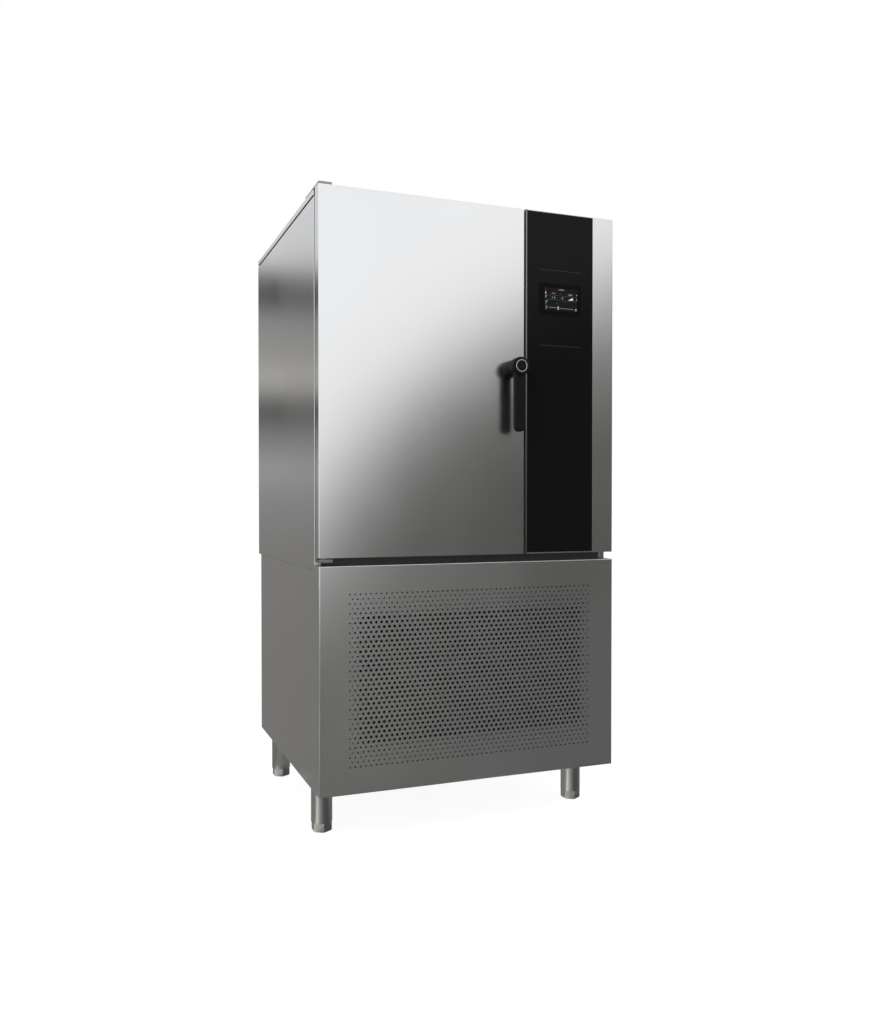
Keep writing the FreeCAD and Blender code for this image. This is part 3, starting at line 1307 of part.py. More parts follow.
def chamber_air():
    """Both evaporator fans with their guards, and their motors on bridges behind the baffle."""
    motors = []
    guards = []
    rise = fan_behind + hub_depth / 2 + bridge_room
    for name, level in FANS.items():
        body = fan(name, fan_radius, fan_chord)
        node(name, facing(body, baffle_x + skin + fan_behind, chamber_middle, level, SIDEWAYS))
        turn = SIDEWAYS * Rotation(Vector(0, 0, 1), 90)
        spot = (baffle_x + skin, chamber_middle, level)
        motors.append(set_motor(f"{name}_motor", fan_port_radius + bridge_margin, rise,
                                fan_behind - hub_depth / 2 + shaft_short, spot, turn))
        guards.append(guard_on(f"{name}_guard", level))
    node("evaporator_motors", group("motors", motors))
    node("fan_guards", group("guards", guards))


def evaporator_coil():
    """Finned block between end plates that stand in the drip tray, with U bends and a manifold."""
    x0, x1 = coil_x, coil_x + coil_depth
    y0, y1 = coil_y, coil_y + coil_length
    z0, z1 = coil_z, coil_z + coil_height
    fins = finned_block("evaporator_fins", (x0 + fin_inset, x1 - fin_inset), (y0, y1), (z0, z1), "y")
    plates = [block(f"evaporator_plate_{i}", (x0, x1), (y, y + coil_plate),
                    (chamber_floor + 2 * skin, z1))
              for i, y in enumerate((y0 - coil_plate, y1))]
    first = z0 + coil_bend_first
    bends = [u_bend(f"evaporator_bend_{i}",
                    (x0 + coil_depth / 2, y0 - coil_plate, first + i * coil_bend_step), (0, -1),
                    bend_reach)
             for i in range(int(float(coil_bends)))]
    manifold = block("evaporator_manifold", (liquid_x - manifold_margin, suction_x + manifold_margin),
                     (y1 + coil_plate, line_y + manifold_margin),
                     (manifold_level, manifold_level + manifold_height))
    node("evaporator_coil", fuse("evaporator_parts", [fins, *plates, *bends, manifold]))


def evaporator_drip_tray():
    """Tray under the coil with a spigot that the drain pipe slips over."""
    x0, x1 = coil_x - drip_margin, chamber_right - drip_gap
    y0, y1 = chamber_front + drip_gap, coil_y + coil_length + coil_plate + drip_end
    z0 = chamber_floor + fit_gap
    outside = block("drip_outside", (x0, x1), (y0, y1), (z0, z0 + drip_rim))
    inside = block("drip_inside", (x0 + skin, x1 - skin), (y0 + skin, y1 - skin),
                   (chamber_floor + 2 * skin, z0 + drip_rim + MORE))
    spout = rod("drip_spigot", "z", (drain_x, drain_y, foam_floor), drain_bore - fit_gap,
                z0 - foam_floor)
    hole = rod("drip_hole", "z", (drain_x, drain_y, foam_floor - MORE),
               drain_bore - fit_gap - drip_wall, z0 - foam_floor + 3 * MORE)
    solid = fuse("drip_solid", [outside, spout])
    node("evaporator_drip_tray", cut("drip", solid, [inside, hole]))


def drain_pipe():
    """Drain from the drip tray down through the base, with a slimmer hose spigot at its foot."""
    low, high = leg_height - drain_drop, chamber_floor - liner_sheet - fit_gap
    outside = rod("drain_outside", "z", (drain_x, drain_y, low + spigot_length), drain_radius,
                  high - low - spigot_length)
    spigot = rod("drain_spigot", "z", (drain_x, drain_y, low), spigot_radius, spigot_length)
    inside = rod("drain_inside", "z", (drain_x, drain_y, low - MORE), drain_bore,
                 high - low + 2 * MORE)
    node("drain_pipe", cut("drain", fuse("drain_solid", [outside, spigot]), [inside]))


air_baffle()
chamber_air()
evaporator_coil()
evaporator_drip_tray()
drain_pipe()

# ---------------------------------------------------------------- control column

glass_x = (column_left + column_edge, half - strip_width)
glass_z = (door_bottom + glass_foot, top_level - glass_head)


def control_housing():
    """Steel column front with rounded right corner, a rebate for the glass and a display window."""
    body = new_body("control_housing")
    plan = sketch_on(body, "column_plan", "XY_Plane", door_bottom)
    outline(plan, [(column_left, front), (half, front, column_round), (half, body_front),
                   (column_left, body_front)])
    pad(body, plan, "XY_Plane", top_level - door_bottom)
    hollow = sketch_on(body, "column_hollow", "XZ_Plane", body_front)
    rectangle(hollow, (column_left + skin, half - skin), (door_bottom + skin, top_level - skin))
    pocket(body, hollow, "XZ_Plane", body_setback - glass_sheet - skin, forward=False)
    rebate = sketch_on(body, "column_rebate", "XZ_Plane", front)
    rectangle(rebate, glass_x, glass_z)
    pocket(body, rebate, "XZ_Plane", glass_sheet)
    window = sketch_on(body, "column_window", "XZ_Plane", floor_y)
    rectangle(window, around(display_x, bezel_width), around(display_z, bezel_height), bezel_radius)
    pocket(body, window, "XZ_Plane", skin)
    node("control_housing", body)


def fascia_glass():
    node("fascia_glass", block("glass", (glass_x[0] + fit_gap, glass_x[1] - fit_gap),
                               (front, floor_y), (glass_z[0] + fit_gap, glass_z[1] - fit_gap)))


def display_module():
    """Display with rounded corners, behind the glass in its window."""
    body = new_body("display_module")
    face = sketch_on(body, "display_face", "XZ_Plane", floor_y)
    rectangle(face, around(display_x, bezel_width, fit_gap), around(display_z, bezel_height, fit_gap),
              bezel_radius - fit_gap)
    pad(body, face, "XZ_Plane", display_depth)
    node("display_module", body)


def control_board():
    """Circuit board on four standoffs behind the steel, with relays and a transformer."""
    y0 = floor_y + skin
    x = around(display_x, board_width)
    top = display_z - bezel_height / 2 - board_drop
    z = (top - board_height, top)
    board = block("board", x, (y0 + standoff, y0 + standoff + skin), z)
    side = standoff_side
    legs = [block(f"standoff_{i}{j}", around(edge_x, side), (y0, y0 + standoff), around(edge_z, side))
            for i, edge_x in enumerate((x[0] + side, x[1] - side))
            for j, edge_z in enumerate((z[0] + side, z[1] - side))]
    behind = y0 + standoff + skin
    relays = []
    for i in range(int(float(relay_count))):
        left = x[0] + relay_inset + i * relay_pitch
        relays.append(block(f"relay_{i}", (left, left + relay_width), (behind, behind + relay_depth),
                            (z[0] + relay_inset, z[0] + relay_inset + relay_height)))
    left, high = x[0] + transformer_left, z[1] - transformer_drop
    transformer = block("transformer", (left, left + transformer_side),
                        (behind, behind + transformer_depth), (high - transformer_side, high))
    node("control_board", fuse("board_parts", [board, *legs, *relays, transformer]))


control_housing()
fascia_glass()
display_module()
control_board()

# ---------------------------------------------------------------- door

plug_x = (chamber_left + plug_margin, opening_right - plug_margin)
plug_z = (chamber_floor + plug_margin, chamber_top - plug_margin)


def pivot_holes(name):
    """Pockets for the two door bushes, from the door's lower and upper edges."""
    radius = bush_radius + fit_gap
    return [rod(f"{name}_low", "z", (pivot_x, pivot_y, door_bottom - MORE), radius,
                bush_depth + MORE),
            rod(f"{name}_high", "z", (pivot_x, pivot_y, door_top - bush_depth), radius,
                bush_depth + MORE)]


def spindle_hole(name):
    return rod(name, "y", (handle_x, front - MORE, handle_z), spindle_radius + spindle_gap,
               body_setback + 2 * MORE)


def door_outer_skin():
    """Tray of sheet metal: the door's face and its four edges."""
    body = prism("door_tray", "XY_Plane", door_bottom, door_top - door_bottom, [
        (door_left, front, door_round), (door_right, front, door_round),
        (door_right, door_back), (door_left, door_back)])
    hollow = block("door_hollow", (door_left + skin, door_right - skin),
                   (front + skin, door_back + MORE), (door_bottom + skin, door_top - skin))
    tools = [hollow, spindle_hole("skin_spindle_hole"), *pivot_holes("skin_pivot")]
    node("door_outer_skin", cut("door_skin", body, tools))


def door_insulation():
    """Foam that fills the door, also behind the raised middle of the inner panel."""
    slab = block("door_slab", (door_left + skin, door_right - skin),
                 (front + skin, door_back - skin), (door_bottom + skin, door_top - skin))
    raised = block("door_raised", (plug_x[0] + skin, plug_x[1] - skin),
                   (door_back - 2 * skin, door_back + plug_rise - skin),
                   (plug_z[0] + skin, plug_z[1] - skin))
    solid = fuse("door_foam", [slab, raised])
    tools = [spindle_hole("foam_spindle_hole"), *pivot_holes("foam_pivot")]
    node("door_insulation", cut("door_foam_cut", solid, tools))


def door_inner_panel():
    """Inner panel: flat where the gasket sits, raised in the middle."""
    plate = block("panel_plate", (door_left + skin, door_right - skin),
                  (door_back - skin, door_back), (door_bottom + skin, door_top - skin))
    rise = prism("panel_rise", "XZ_Plane", door_back, plug_rise, [
        (x, z, plug_round) for x, z in ((plug_x[0], plug_z[0]), (plug_x[1], plug_z[0]),
                                             (plug_x[1], plug_z[1]), (plug_x[0], plug_z[1]))])
    hollow = block("panel_hollow", (plug_x[0] + skin, plug_x[1] - skin),
                   (door_back - 2 * skin, door_back + plug_rise - skin),
                   (plug_z[0] + skin, plug_z[1] - skin))
    solid = fuse("panel_solid", [plate, rise])
    tools = [hollow, spindle_hole("panel_spindle_hole"), *pivot_holes("panel_pivot")]
    node("door_inner_panel", cut("panel", solid, tools))


def door_gasket():
    """Magnetic gasket: a closed ring on the door's back, just clear of the steel face behind it."""
    inner_x = (chamber_left - gasket_margin, opening_right + gasket_margin)
    inner_z = (chamber_floor - gasket_margin, chamber_top + gasket_margin)
    body = new_body("door_gasket")
    ring = sketch_on(body, "gasket_ring", "XZ_Plane", door_back)
    rectangle(ring, (inner_x[0] - gasket_width, inner_x[1] + gasket_width),
              (inner_z[0] - gasket_width, inner_z[1] + gasket_width))
    rectangle(ring, inner_x, inner_z)
    pad(body, ring, "XZ_Plane", body_front - fit_gap - door_back)
    node("door_gasket", body)


def door_bushes():
    """Plastic bushes in the door's lower and upper edges, each closed at its inner end."""
    bushes = []
    for name, level, up in (("lower_bush", door_bottom, 1), ("upper_bush", door_top, -1)):
        depth = bush_depth * up
        reach = (pin_length + fit_gap) * up
        bore = pin_radius + pin_gap
        bush = turned(name, [(bore, 0.0), (bush_radius, 0.0), (bush_radius, depth), (0.0, depth),
                             (0.0, reach), (bore, reach)])
        bushes.append(seat(bush, pivot_x, pivot_y, level))
    node("door_bushes", group("bushes", bushes))


door_outer_skin()
door_insulation()
door_inner_panel()
door_gasket()
door_bushes()

# ---------------------------------------------------------------- hinge brackets and striker


def hinge_bracket_upper():
    """Plate on the cover, reaching over the door, with the pin that enters the door's top."""
    left = -half + skin
    plate = block("upper_plate", (left, left + bracket_width), (front + skin, front + bracket_reach),
                  (top_level, top_level + bracket_sheet))
    pin = rod("upper_pin", "z", (pivot_x, pivot_y, door_top - pin_length), pin_radius,
              pin_length + door_head)
    node("hinge_bracket_upper", fuse("upper_bracket", [plate, pin]))


def hinge_bracket_lower():
    """Shelf bolted to the cabinet's face under the door, with a pin and a bearing collar."""
    left = -half + skin
    top = door_bottom - lower_bracket_drop
    low = top - lower_bracket_sheet
    shelf = block("lower_shelf", (left, left + bracket_width), (front + skin, body_front), (low, top))
    collar = rod("lower_collar", "z", (pivot_x, pivot_y, top), pin_radius + collar_ledge,
                 lower_bracket_drop - fit_gap)
    pin = rod("lower_pin", "z", (pivot_x, pivot_y, top), pin_radius,
              lower_bracket_drop + pin_length)
    node("hinge_bracket_lower", fuse("lower_bracket", [shelf, collar, pin]))


def hinge_screws():
    """Two screws on the upper bracket's plate."""
    x = -half + skin + bracket_width / 2
    last = front + bracket_reach - hinge_screw_back
    screws = [many_sided(f"hinge_screw_{i}", "z",
                         (x, last - i * hinge_screw_pitch, top_level + bracket_sheet),
                         hinge_screw, hinge_screw_head, 6)
              for i in range(2)]
    node("hinge_screws", group("screws", screws))


def latch_striker():
    """Keeper on the cabinet's face, beside the tip of the latch cam."""
    tip = handle_x + cam_reach
    x0 = tip + striker_gap
    z = around(handle_z, striker_height)
    stem = block("striker_stem", (x0, x0 + striker_sheet), (door_back + striker_back, body_front), z)
    pads = block("striker_pad", (x0 - striker_foot, x0 + striker_sheet),
                 (body_front - striker_foot_sheet, body_front), z)
    node("latch_striker", fuse("striker", [stem, pads]))


hinge_bracket_upper()
hinge_bracket_lower()
hinge_screws()
latch_striker()

# ---------------------------------------------------------------- handle


def handle_neck():
    """Fixed neck on the door's face that the lever turns on."""
    far = front - head_back - fit_gap
    bore = spindle_radius + fit_gap
    body = turned("neck", [(bore, 0.0), (neck_radius, 0.0), (neck_radius, far), (bore, far)])
    node("handle_neck", facing(body, handle_x, front, handle_z, Rotation(Vector(1, 0, 0), 90)))


def handle_lever():
    """Turning head with the hanging grip, its sides and end rounded."""
    body = new_body("handle_lever")
    grip = sketch_on(body, "grip_face", "XZ_Plane", grip_front)
    side = grip_width / 2
    tip = handle_z - grip_length
    rectangle(grip, (handle_x - side, handle_x + side), (tip, handle_z), grip_round)
    pad(body, grip, "XZ_Plane", grip_depth)
    dress(body, "Chamfer", grip_edge, lambda edge: edge.BoundBox.YLength < 0.001)
    head = sketch_on(body, "head_disc", "XZ_Plane", head_back)
    disc(head, handle_x, handle_z, head_radius)
    pad(body, head, "XZ_Plane", head_length, forward=False)
    doc.recompute()
    seat_ring = sketch_on(body, "head_rebate", "XZ_Plane", head_back - head_length)
    disc(seat_ring, handle_x, handle_z, ring_radius + fit_gap)
    pocket(body, seat_ring, "XZ_Plane", trim_height - skin)
    node("handle_lever", body)


def handle_trim():
    """Bright ring let into the head, and the cap inside it."""
    forward = Rotation(Vector(1, 0, 0), 90)
    rebate = front - handle_reach + trim_height
    bore = ring_bore + fit_gap
    ring = turned("ring", [(bore, 0.0), (ring_radius, 0.0), (ring_radius, trim_height),
                           (bore, trim_height)])
    node("handle_ring", facing(ring, handle_x, rebate, handle_z, forward))
    cap = rod("cap", "z", (0.0, 0.0, 0.0), ring_bore, trim_height - cap_drop)
    node("handle_cap", facing(cap, handle_x, rebate, handle_z, forward))


def latch_cam():
    """Spindle from the lever through the door, with the cam behind the door."""
    cam_y = door_back + cam_gap
    far = cam_y + cam_sheet
    shaft = rod("spindle", "y", (handle_x, head_back, handle_z), spindle_radius, far - head_back)
    boss = rod("cam_boss", "y", (handle_x, cam_y, handle_z), cam_boss, cam_sheet)
    arm = block("cam_arm", (handle_x, handle_x + cam_reach), (cam_y, far),
                (handle_z - cam_width / 2, handle_z + cam_width / 2))
    node("latch_cam", fuse("cam", [shaft, boss, arm]))


handle_neck()
handle_lever()
handle_trim()
latch_cam()

# ---------------------------------------------------------------- checking and writing


def check_document():
    """Stop if any object failed, any cut removed nothing, or any node is not sound."""
    doc.recompute()
    failed = [item.Label for item in doc.Objects
              if "Invalid" in item.State or "Error" in item.State]
    idle = [result.Label for result, base in cuts
            if result.Shape.Volume > base.Shape.Volume - 0.5]
    unsound = [name for name, item in nodes.items()
               if item.Shape.isNull() or not item.Shape.isValid() or not item.Shape.Solids]
    if failed or idle or unsound:
        raise SystemExit(f"failed: {failed}; cut nothing: {idle}; not sound: {unsound}")


check_document()
os.makedirs("parts", exist_ok=True)
for name, item in nodes.items():
    item.Shape.exportStep(f"parts/{name}.step")
print(len(nodes), "nodes written")
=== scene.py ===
import json
import math

import bmesh
import bpy
from mathutils import Matrix, Vector


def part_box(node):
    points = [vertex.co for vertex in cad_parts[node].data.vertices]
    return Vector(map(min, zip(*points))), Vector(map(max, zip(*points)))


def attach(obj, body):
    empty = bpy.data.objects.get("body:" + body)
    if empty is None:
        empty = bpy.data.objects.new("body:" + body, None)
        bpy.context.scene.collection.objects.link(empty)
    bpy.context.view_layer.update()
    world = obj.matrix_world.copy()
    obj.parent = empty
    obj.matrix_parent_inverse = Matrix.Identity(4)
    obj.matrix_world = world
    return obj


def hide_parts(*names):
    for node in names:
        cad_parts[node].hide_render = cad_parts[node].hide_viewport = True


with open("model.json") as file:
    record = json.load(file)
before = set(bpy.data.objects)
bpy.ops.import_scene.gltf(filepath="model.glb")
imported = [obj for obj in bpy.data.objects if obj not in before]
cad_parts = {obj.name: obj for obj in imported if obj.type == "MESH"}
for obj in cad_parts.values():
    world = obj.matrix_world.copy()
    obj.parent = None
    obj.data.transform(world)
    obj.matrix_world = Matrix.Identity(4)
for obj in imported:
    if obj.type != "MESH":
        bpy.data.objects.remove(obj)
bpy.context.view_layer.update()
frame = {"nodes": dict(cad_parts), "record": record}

# ---------------------------------------- camera
# It stands 2.4 m in front of the door and 1 m to the left of its middle, just above half the
# cabinet's height. Place, turn in degrees and lens come from a fit to the photograph's edges.
CAMERA_SPOT, CAMERA_TURN, LENS_MM = (-1.0394, -2.7903, 0.9417), (89.203, 0.0, -21.295), 32.39
camera_data = bpy.data.cameras.new("camera")
camera_data.lens = LENS_MM
camera = bpy.data.objects.new("camera", camera_data)
camera.location = CAMERA_SPOT
camera.rotation_euler = [math.radians(degrees) for degrees in CAMERA_TURN]
scene = bpy.context.scene
scene.collection.objects.link(camera)
scene.camera = camera

# ---------------------------------------- floor, sky and lamps
# A pale floor under a white sky and three large soft lamps. What the camera, metal and glass see
# of floor and sky is white. What lights the object is a plain grey, so colours stay as written.
scene.view_settings.view_transform = "Standard"


def linear(hex_colour):
    """sRGB hex to the linear colour that a shader takes."""
    channels = [int(hex_colour[i:i + 2], 16) / 255 for i in (1, 3, 5)]
    return (*(c / 12.92 if c <= 0.04045 else ((c + 0.055) / 1.055) ** 2.4 for c in channels), 1.0)


def add(tree, kind, sockets=None, **settings):
    """A node with its settings. A socket gets a link if it is given an output, or else a value."""
    made = tree.nodes.new(kind)
    for name, value in settings.items():
        setattr(made, name, value)
    for socket, value in (sockets or {}).items():
        if isinstance(value, bpy.types.NodeSocket):
            tree.links.new(value, made.inputs[socket])
        else:
            made.inputs[socket].default_value = value
    return made


def maths(tree, operation, *values):
    """The result of one operation on sockets and numbers."""
    return add(tree, "ShaderNodeMath", dict(enumerate(values)), operation=operation).outputs[0]


def seen_or_lit(tree, seen, lit):
    """One shader for what the camera, metal and glass see, another for the light on the object."""
    path = add(tree, "ShaderNodeLightPath").outputs
    direct = maths(tree, "MAXIMUM", path["Is Camera Ray"], path["Is Glossy Ray"])
    direct = maths(tree, "MAXIMUM", direct, path["Is Transmission Ray"])
    return add(tree, "ShaderNodeMixShader", {0: direct, 1: lit.outputs[0],
                                             2: seen.outputs[0]}).outputs[0]


WHITE = "#FFFFFF"
SKY_LIGHT = "#C4C4C4"
world = bpy.data.worlds.new("white_sky")
world.use_nodes = True
scene.world = world
tree = world.node_tree
tree.nodes.clear()
sky = seen_or_lit(tree, add(tree, "ShaderNodeBackground", {"Color": linear(WHITE)}),
                  add(tree, "ShaderNodeBackground", {"Color": linear(SKY_LIGHT)}))
add(tree, "ShaderNodeOutputWorld", {"Surface": sky})

FLOOR_HALF = 40.0
FLOOR_PAINT, FLOOR_SHADE, FLOOR_GLOW = "#E8E8E8", "#767676", 0.925
pale_floor = bpy.data.materials.new("pale_floor")
pale_floor.use_nodes = True
tree = pale_floor.node_tree
tree.nodes.clear()
shade = add(tree, "ShaderNodeBsdfDiffuse", {"Color": linear(FLOOR_SHADE)})
glow = add(tree, "ShaderNodeEmission", {"Color": linear(WHITE), "Strength": FLOOR_GLOW})
white = add(tree, "ShaderNodeAddShader", {0: shade.outputs[0], 1: glow.outputs[0]})
matt = add(tree, "ShaderNodeBsdfDiffuse", {"Color": linear(FLOOR_PAINT)})
add(tree, "ShaderNodeOutputMaterial", {"Surface": seen_or_lit(tree, white, matt)})


def put_on_stage(name, bm, finish):
    """A piece of the set, which isn't part of the object."""
    mesh = bpy.data.meshes.new(name)
    bm.to_mesh(mesh)
    bm.free()
    mesh.materials.append(finish)
    made = bpy.data.objects.new(name, mesh)
    scene.collection.objects.link(made)
    return made


bm = bmesh.new()
bmesh.ops.create_grid(bm, x_segments=1, y_segments=1, size=FLOOR_HALF)
put_on_stage("floor", bm, pale_floor)

# Each lamp: its place, the side of its square in metres, and its watts. All aim at one height.
LAMPS = (("key_softbox", (-3.4, -3.6, 3.4), 3.4, 95.0),
         ("fill_softbox", (3.8, -2.4, 2.6), 3.0, 40.0),
         ("back_softbox", (0.6, 4.6, 3.4), 3.4, 60.0))
LIT_HEIGHT = 0.9
for lamp_name, spot, size, power in LAMPS:
    lamp_data = bpy.data.lights.new(lamp_name, "AREA")
    lamp_data.shape = "SQUARE"
    lamp_data.size = size
    lamp_data.energy = power
    lamp = bpy.data.objects.new(lamp_name, lamp_data)
    lamp.location = spot
    aim = Vector((0, 0, LIT_HEIGHT)) - Vector(spot)
    lamp.rotation_euler = aim.to_track_quat("-Z", "Y").to_euler()
    lamp.visible_glossy = False
    scene.collection.objects.link(lamp)

# ---------------------------------------- grey cards round the set
# Steel shows what stands round it. A round wall 7 m away and a card on the floor, both seen only
# in reflections, give the door its soft window and the side its level bands, as in a studio.
CARD_RADIUS, CARD_HEIGHT, CARD_LIFT, CARD_SIDES = 7.0, 5.0, 0.002, 96
NEUTRAL, WARM, COOL = "#FFFFFF", "#FFFDF8", "#FCFDFF"


def grey_card(name, bm, paint):
    """A card whose paint, made from the place on it in metres, is all that metal sees there."""
    finish = bpy.data.materials.new(name)
    finish.use_nodes = True
    finish.cycles.emission_sampling = "NONE"
    tree = finish.node_tree
    tree.nodes.clear()
    place = add(tree, "ShaderNodeSeparateXYZ",
                {0: add(tree, "ShaderNodeTexCoord").outputs["Object"]}).outputs
    glow = add(tree, "ShaderNodeEmission", {"Color": paint(tree, place)})
    add(tree, "ShaderNodeOutputMaterial", {"Surface": glow.outputs[0]})
    made = put_on_stage(name, bm, finish)
    made.visible_camera = made.visible_diffuse = made.visible_shadow = False
    made.visible_transmission = made.visible_volume_scatter = False


def soft_bands(tree, measure, low, high, *bands):
    """Greys that run into each other along a measure. Each band is (place, brightness, tint)."""
    share = add(tree, "ShaderNodeMapRange", {"Value": measure, "From Min": low, "From Max": high})
    made = add(tree, "ShaderNodeValToRGB", {0: share.outputs[0]})
    made.color_ramp.interpolation = "EASE"
    while len(made.color_ramp.elements) < len(bands):
        made.color_ramp.elements.new(0.5)
    for element, (spot, brightness, tint) in zip(made.color_ramp.elements, bands):
        element.position = (spot - low) / (high - low)
        element.color = tuple(brightness * c for c in linear(tint)[:3]) + (1.0,)
    return made.outputs[0]


def fade(tree, measure, low, high, first, second):
    """One paint that runs over into another between two places."""
    share = add(tree, "ShaderNodeMapRange", {"Value": measure, "From Min": low, "From Max": high})
    return add(tree, "ShaderNodeMix", {0: share.outputs[0], 6: first, 7: second},
               data_type="RGBA").outputs[2]


def bent(tree, x, bend):
    """The square of a distance, times a bend: how far a soft edge leaves a straight line."""
    return maths(tree, "MULTIPLY", maths(tree, "MULTIPLY", x, x), bend)


# The window's lower edge: its slope, where it starts to bend, and how much on each side of that.
WINDOW_TILT, WINDOW_TURN, WINDOW_BEND, WINDOW_LEFT_BEND = -0.85, 2.0, 0.135, 0.33


def wall_paint(tree, place):
    """In front: a bright window whose lower edge climbs to the right. Behind: level bands."""
    right = maths(tree, "SUBTRACT", place["X"], WINDOW_TURN)
    left = maths(tree, "MINIMUM", right, 0.0)
    edge = maths(tree, "MULTIPLY_ADD", place["X"], WINDOW_TILT, place["Z"])
    for part in (bent(tree, right, WINDOW_BEND), bent(tree, left, WINDOW_LEFT_BEND)):
        edge = maths(tree, "ADD", edge, part)
    front = soft_bands(tree, edge, -2.0, 2.0, (-2.0, 0.108, WARM), (-1.2, 0.118, WARM),
                       (-0.72, 0.138, WARM), (-0.28, 0.20, WARM), (0.17, 0.66, NEUTRAL),
                       (0.54, 1.33, NEUTRAL), (0.86, 1.49, NEUTRAL), (2.0, 1.49, COOL))
    behind = soft_bands(tree, place["Z"], 0.0, 5.0, (0.40, 0.26, WARM), (0.94, 0.31, NEUTRAL),
                        (1.25, 0.45, COOL), (1.55, 0.28, NEUTRAL), (1.87, 0.05, NEUTRAL),
                        (2.18, 0.58, WARM), (2.49, 0.37, WARM), (2.78, 0.35, NEUTRAL),
                        (3.03, 0.03, NEUTRAL), (3.20, 0.08, NEUTRAL), (3.43, 0.90, NEUTRAL),
                        (3.74, 0.92, COOL), (5.0, 0.95, COOL))
    return fade(tree, place["Y"], -2.0, 2.0, front, behind)


# Each row of legs: its y, and the two distances from a leg between which its streaks run out.
LEG_X, LEG_ROWS = 0.4016, ((-0.2389, 0.42, 0.50), (0.3268, 0.10, 0.17))


def round_a_leg(tree, place, paint, leg_x, leg_y, near, far):
    """Near a leg the tube shows the ground all round it: one bright streak and a dark one."""
    along = maths(tree, "SUBTRACT", place["X"], leg_x)
    away = maths(tree, "SUBTRACT", place["Y"], leg_y)
    degrees = maths(tree, "DEGREES", maths(tree, "ARCTAN2", away, along))
    streaks = soft_bands(tree, degrees, -180.0, 180.0, (-180, 0.28, WARM), (-167, 0.45, WARM),
                         (-150, 1.05, NEUTRAL), (-136, 0.62, WARM), (-112, 0.30, WARM),
                         (-80, 0.105, NEUTRAL), (-35, 0.10, NEUTRAL), (-5, 0.20, NEUTRAL),
                         (180, 0.28, WARM))
    spot = add(tree, "ShaderNodeCombineXYZ", {0: along, 1: away}).outputs[0]
    reach = add(tree, "ShaderNodeVectorMath", {0: spot}, operation="LENGTH").outputs["Value"]
    return fade(tree, reach, near, far, streaks, paint)


# The bright spot on the ground: its middle, its grey, and where it starts and ends to run out.
LIGHT_SPOT, SPOT_GREY, SPOT_FADE = (-1.75, -0.75, 0.0), (0.60, 0.60, 0.60, 1.0), (0.45, 1.0)
GROUND_SLANT = 0.45


def floor_paint(tree, place):
    """The ground that the base shows. The bright spot on the left lights the folded corner."""
    across = maths(tree, "MULTIPLY_ADD", place["Y"], GROUND_SLANT, place["X"])
    front = soft_bands(tree, across, -2.0, 1.0, (-1.76, 0.11, WARM), (-1.16, 0.12, WARM),
                       (-0.71, 0.205, WARM), (0.01, 0.155, NEUTRAL), (1.0, 0.155, NEUTRAL))
    behind = soft_bands(tree, place["Y"], 0.0, 8.0, (0.0, 0.24, WARM), (8.0, 0.26, WARM))
    paint = fade(tree, place["Y"], -0.6, 0.6, front, behind)
    here = add(tree, "ShaderNodeTexCoord").outputs["Object"]
    from_spot = add(tree, "ShaderNodeVectorMath", {0: here, 1: LIGHT_SPOT},
                    operation="DISTANCE").outputs["Value"]
    paint = fade(tree, from_spot, *SPOT_FADE, SPOT_GREY, paint)
    for leg_x in (-LEG_X, LEG_X):
        for leg_y, near, far in LEG_ROWS:
            paint = round_a_leg(tree, place, paint, leg_x, leg_y, near, far)
    return paint


bm = bmesh.new()
bmesh.ops.create_cone(bm, segments=CARD_SIDES, radius1=CARD_RADIUS, radius2=CARD_RADIUS,
                      depth=CARD_HEIGHT, cap_ends=False,
                      matrix=Matrix.Translation((0, 0, CARD_HEIGHT / 2)))
grey_card("grey_wall_card", bm, wall_paint)
bm = bmesh.new()
bmesh.ops.create_circle(bm, segments=CARD_SIDES, radius=CARD_RADIUS, cap_ends=True,
                        matrix=Matrix.Translation((0, 0, CARD_LIFT)))
grey_card("grey_ground_card", bm, floor_paint)

# ---------------------------------------- legs and adjusters
# Each leg is a drawn stainless tube of 60.3 mm with a threaded plug in its lower end. A stainless
# hexagon with a bevelled rim turns on its screw in that plug, so each rides on its own body.
MM = 0.001
# Points closer than WELD are made one. A point closer than NEAR to a plane counts as in it.
WELD, NEAR = 0.002 * MM, 0.1 * MM
LEG_RADIUS, LEG_WALL, LEG_TOP, TUBE_EDGE, PLUG_TOP = 30.15, 2.0, 146.0, 0.8, 51.0
HEX_RADIUS, HEX_HEIGHT, HEX_BEVEL, HEX_EDGE = 30.0, 27.0, 4.0, 0.7
SCREW_RADIUS, SCREW_TOP, SCREW_PITCH, THREAD_DEPTH = 9.9, 97.0, 2.0, 1.1
SCREW_PLAY, SCREW_RUNOUT = 0.3, 1.0
FEET = ("foot_front_left", "foot_front_right", "foot_rear_left", "foot_rear_right")


def new_finish(name, hex_colour, metallic, roughness, **sockets):
    """A Principled surface and its tree, ready for the pattern that the real finish shows."""
    finish = bpy.data.materials.new(name)
    finish.use_nodes = True
    tree = finish.node_tree
    tree.nodes.clear()
    given = {"Base Color": linear(hex_colour), "Metallic": metallic, "Roughness": roughness}
    given.update({key.replace("_", " "): value for key, value in sockets.items()})
    surface = add(tree, "ShaderNodeBsdfPrincipled", given)
    add(tree, "ShaderNodeOutputMaterial", {"Surface": surface.outputs[0]})
    return finish, tree, surface


NOISE = "ShaderNodeTexNoise"


def pattern(tree, size_mm, kind=NOISE, **sockets):
    """A texture in object space. Its features are size_mm along X, Y and Z."""
    scaled = add(tree, "ShaderNodeMapping", {0: add(tree, "ShaderNodeTexCoord").outputs["Object"],
                                             "Scale": [1.0 / (size * MM) for size in size_mm]})
    return add(tree, kind, {"Vector": scaled.outputs[0], "Scale": 1.0, **sockets}).outputs[0]


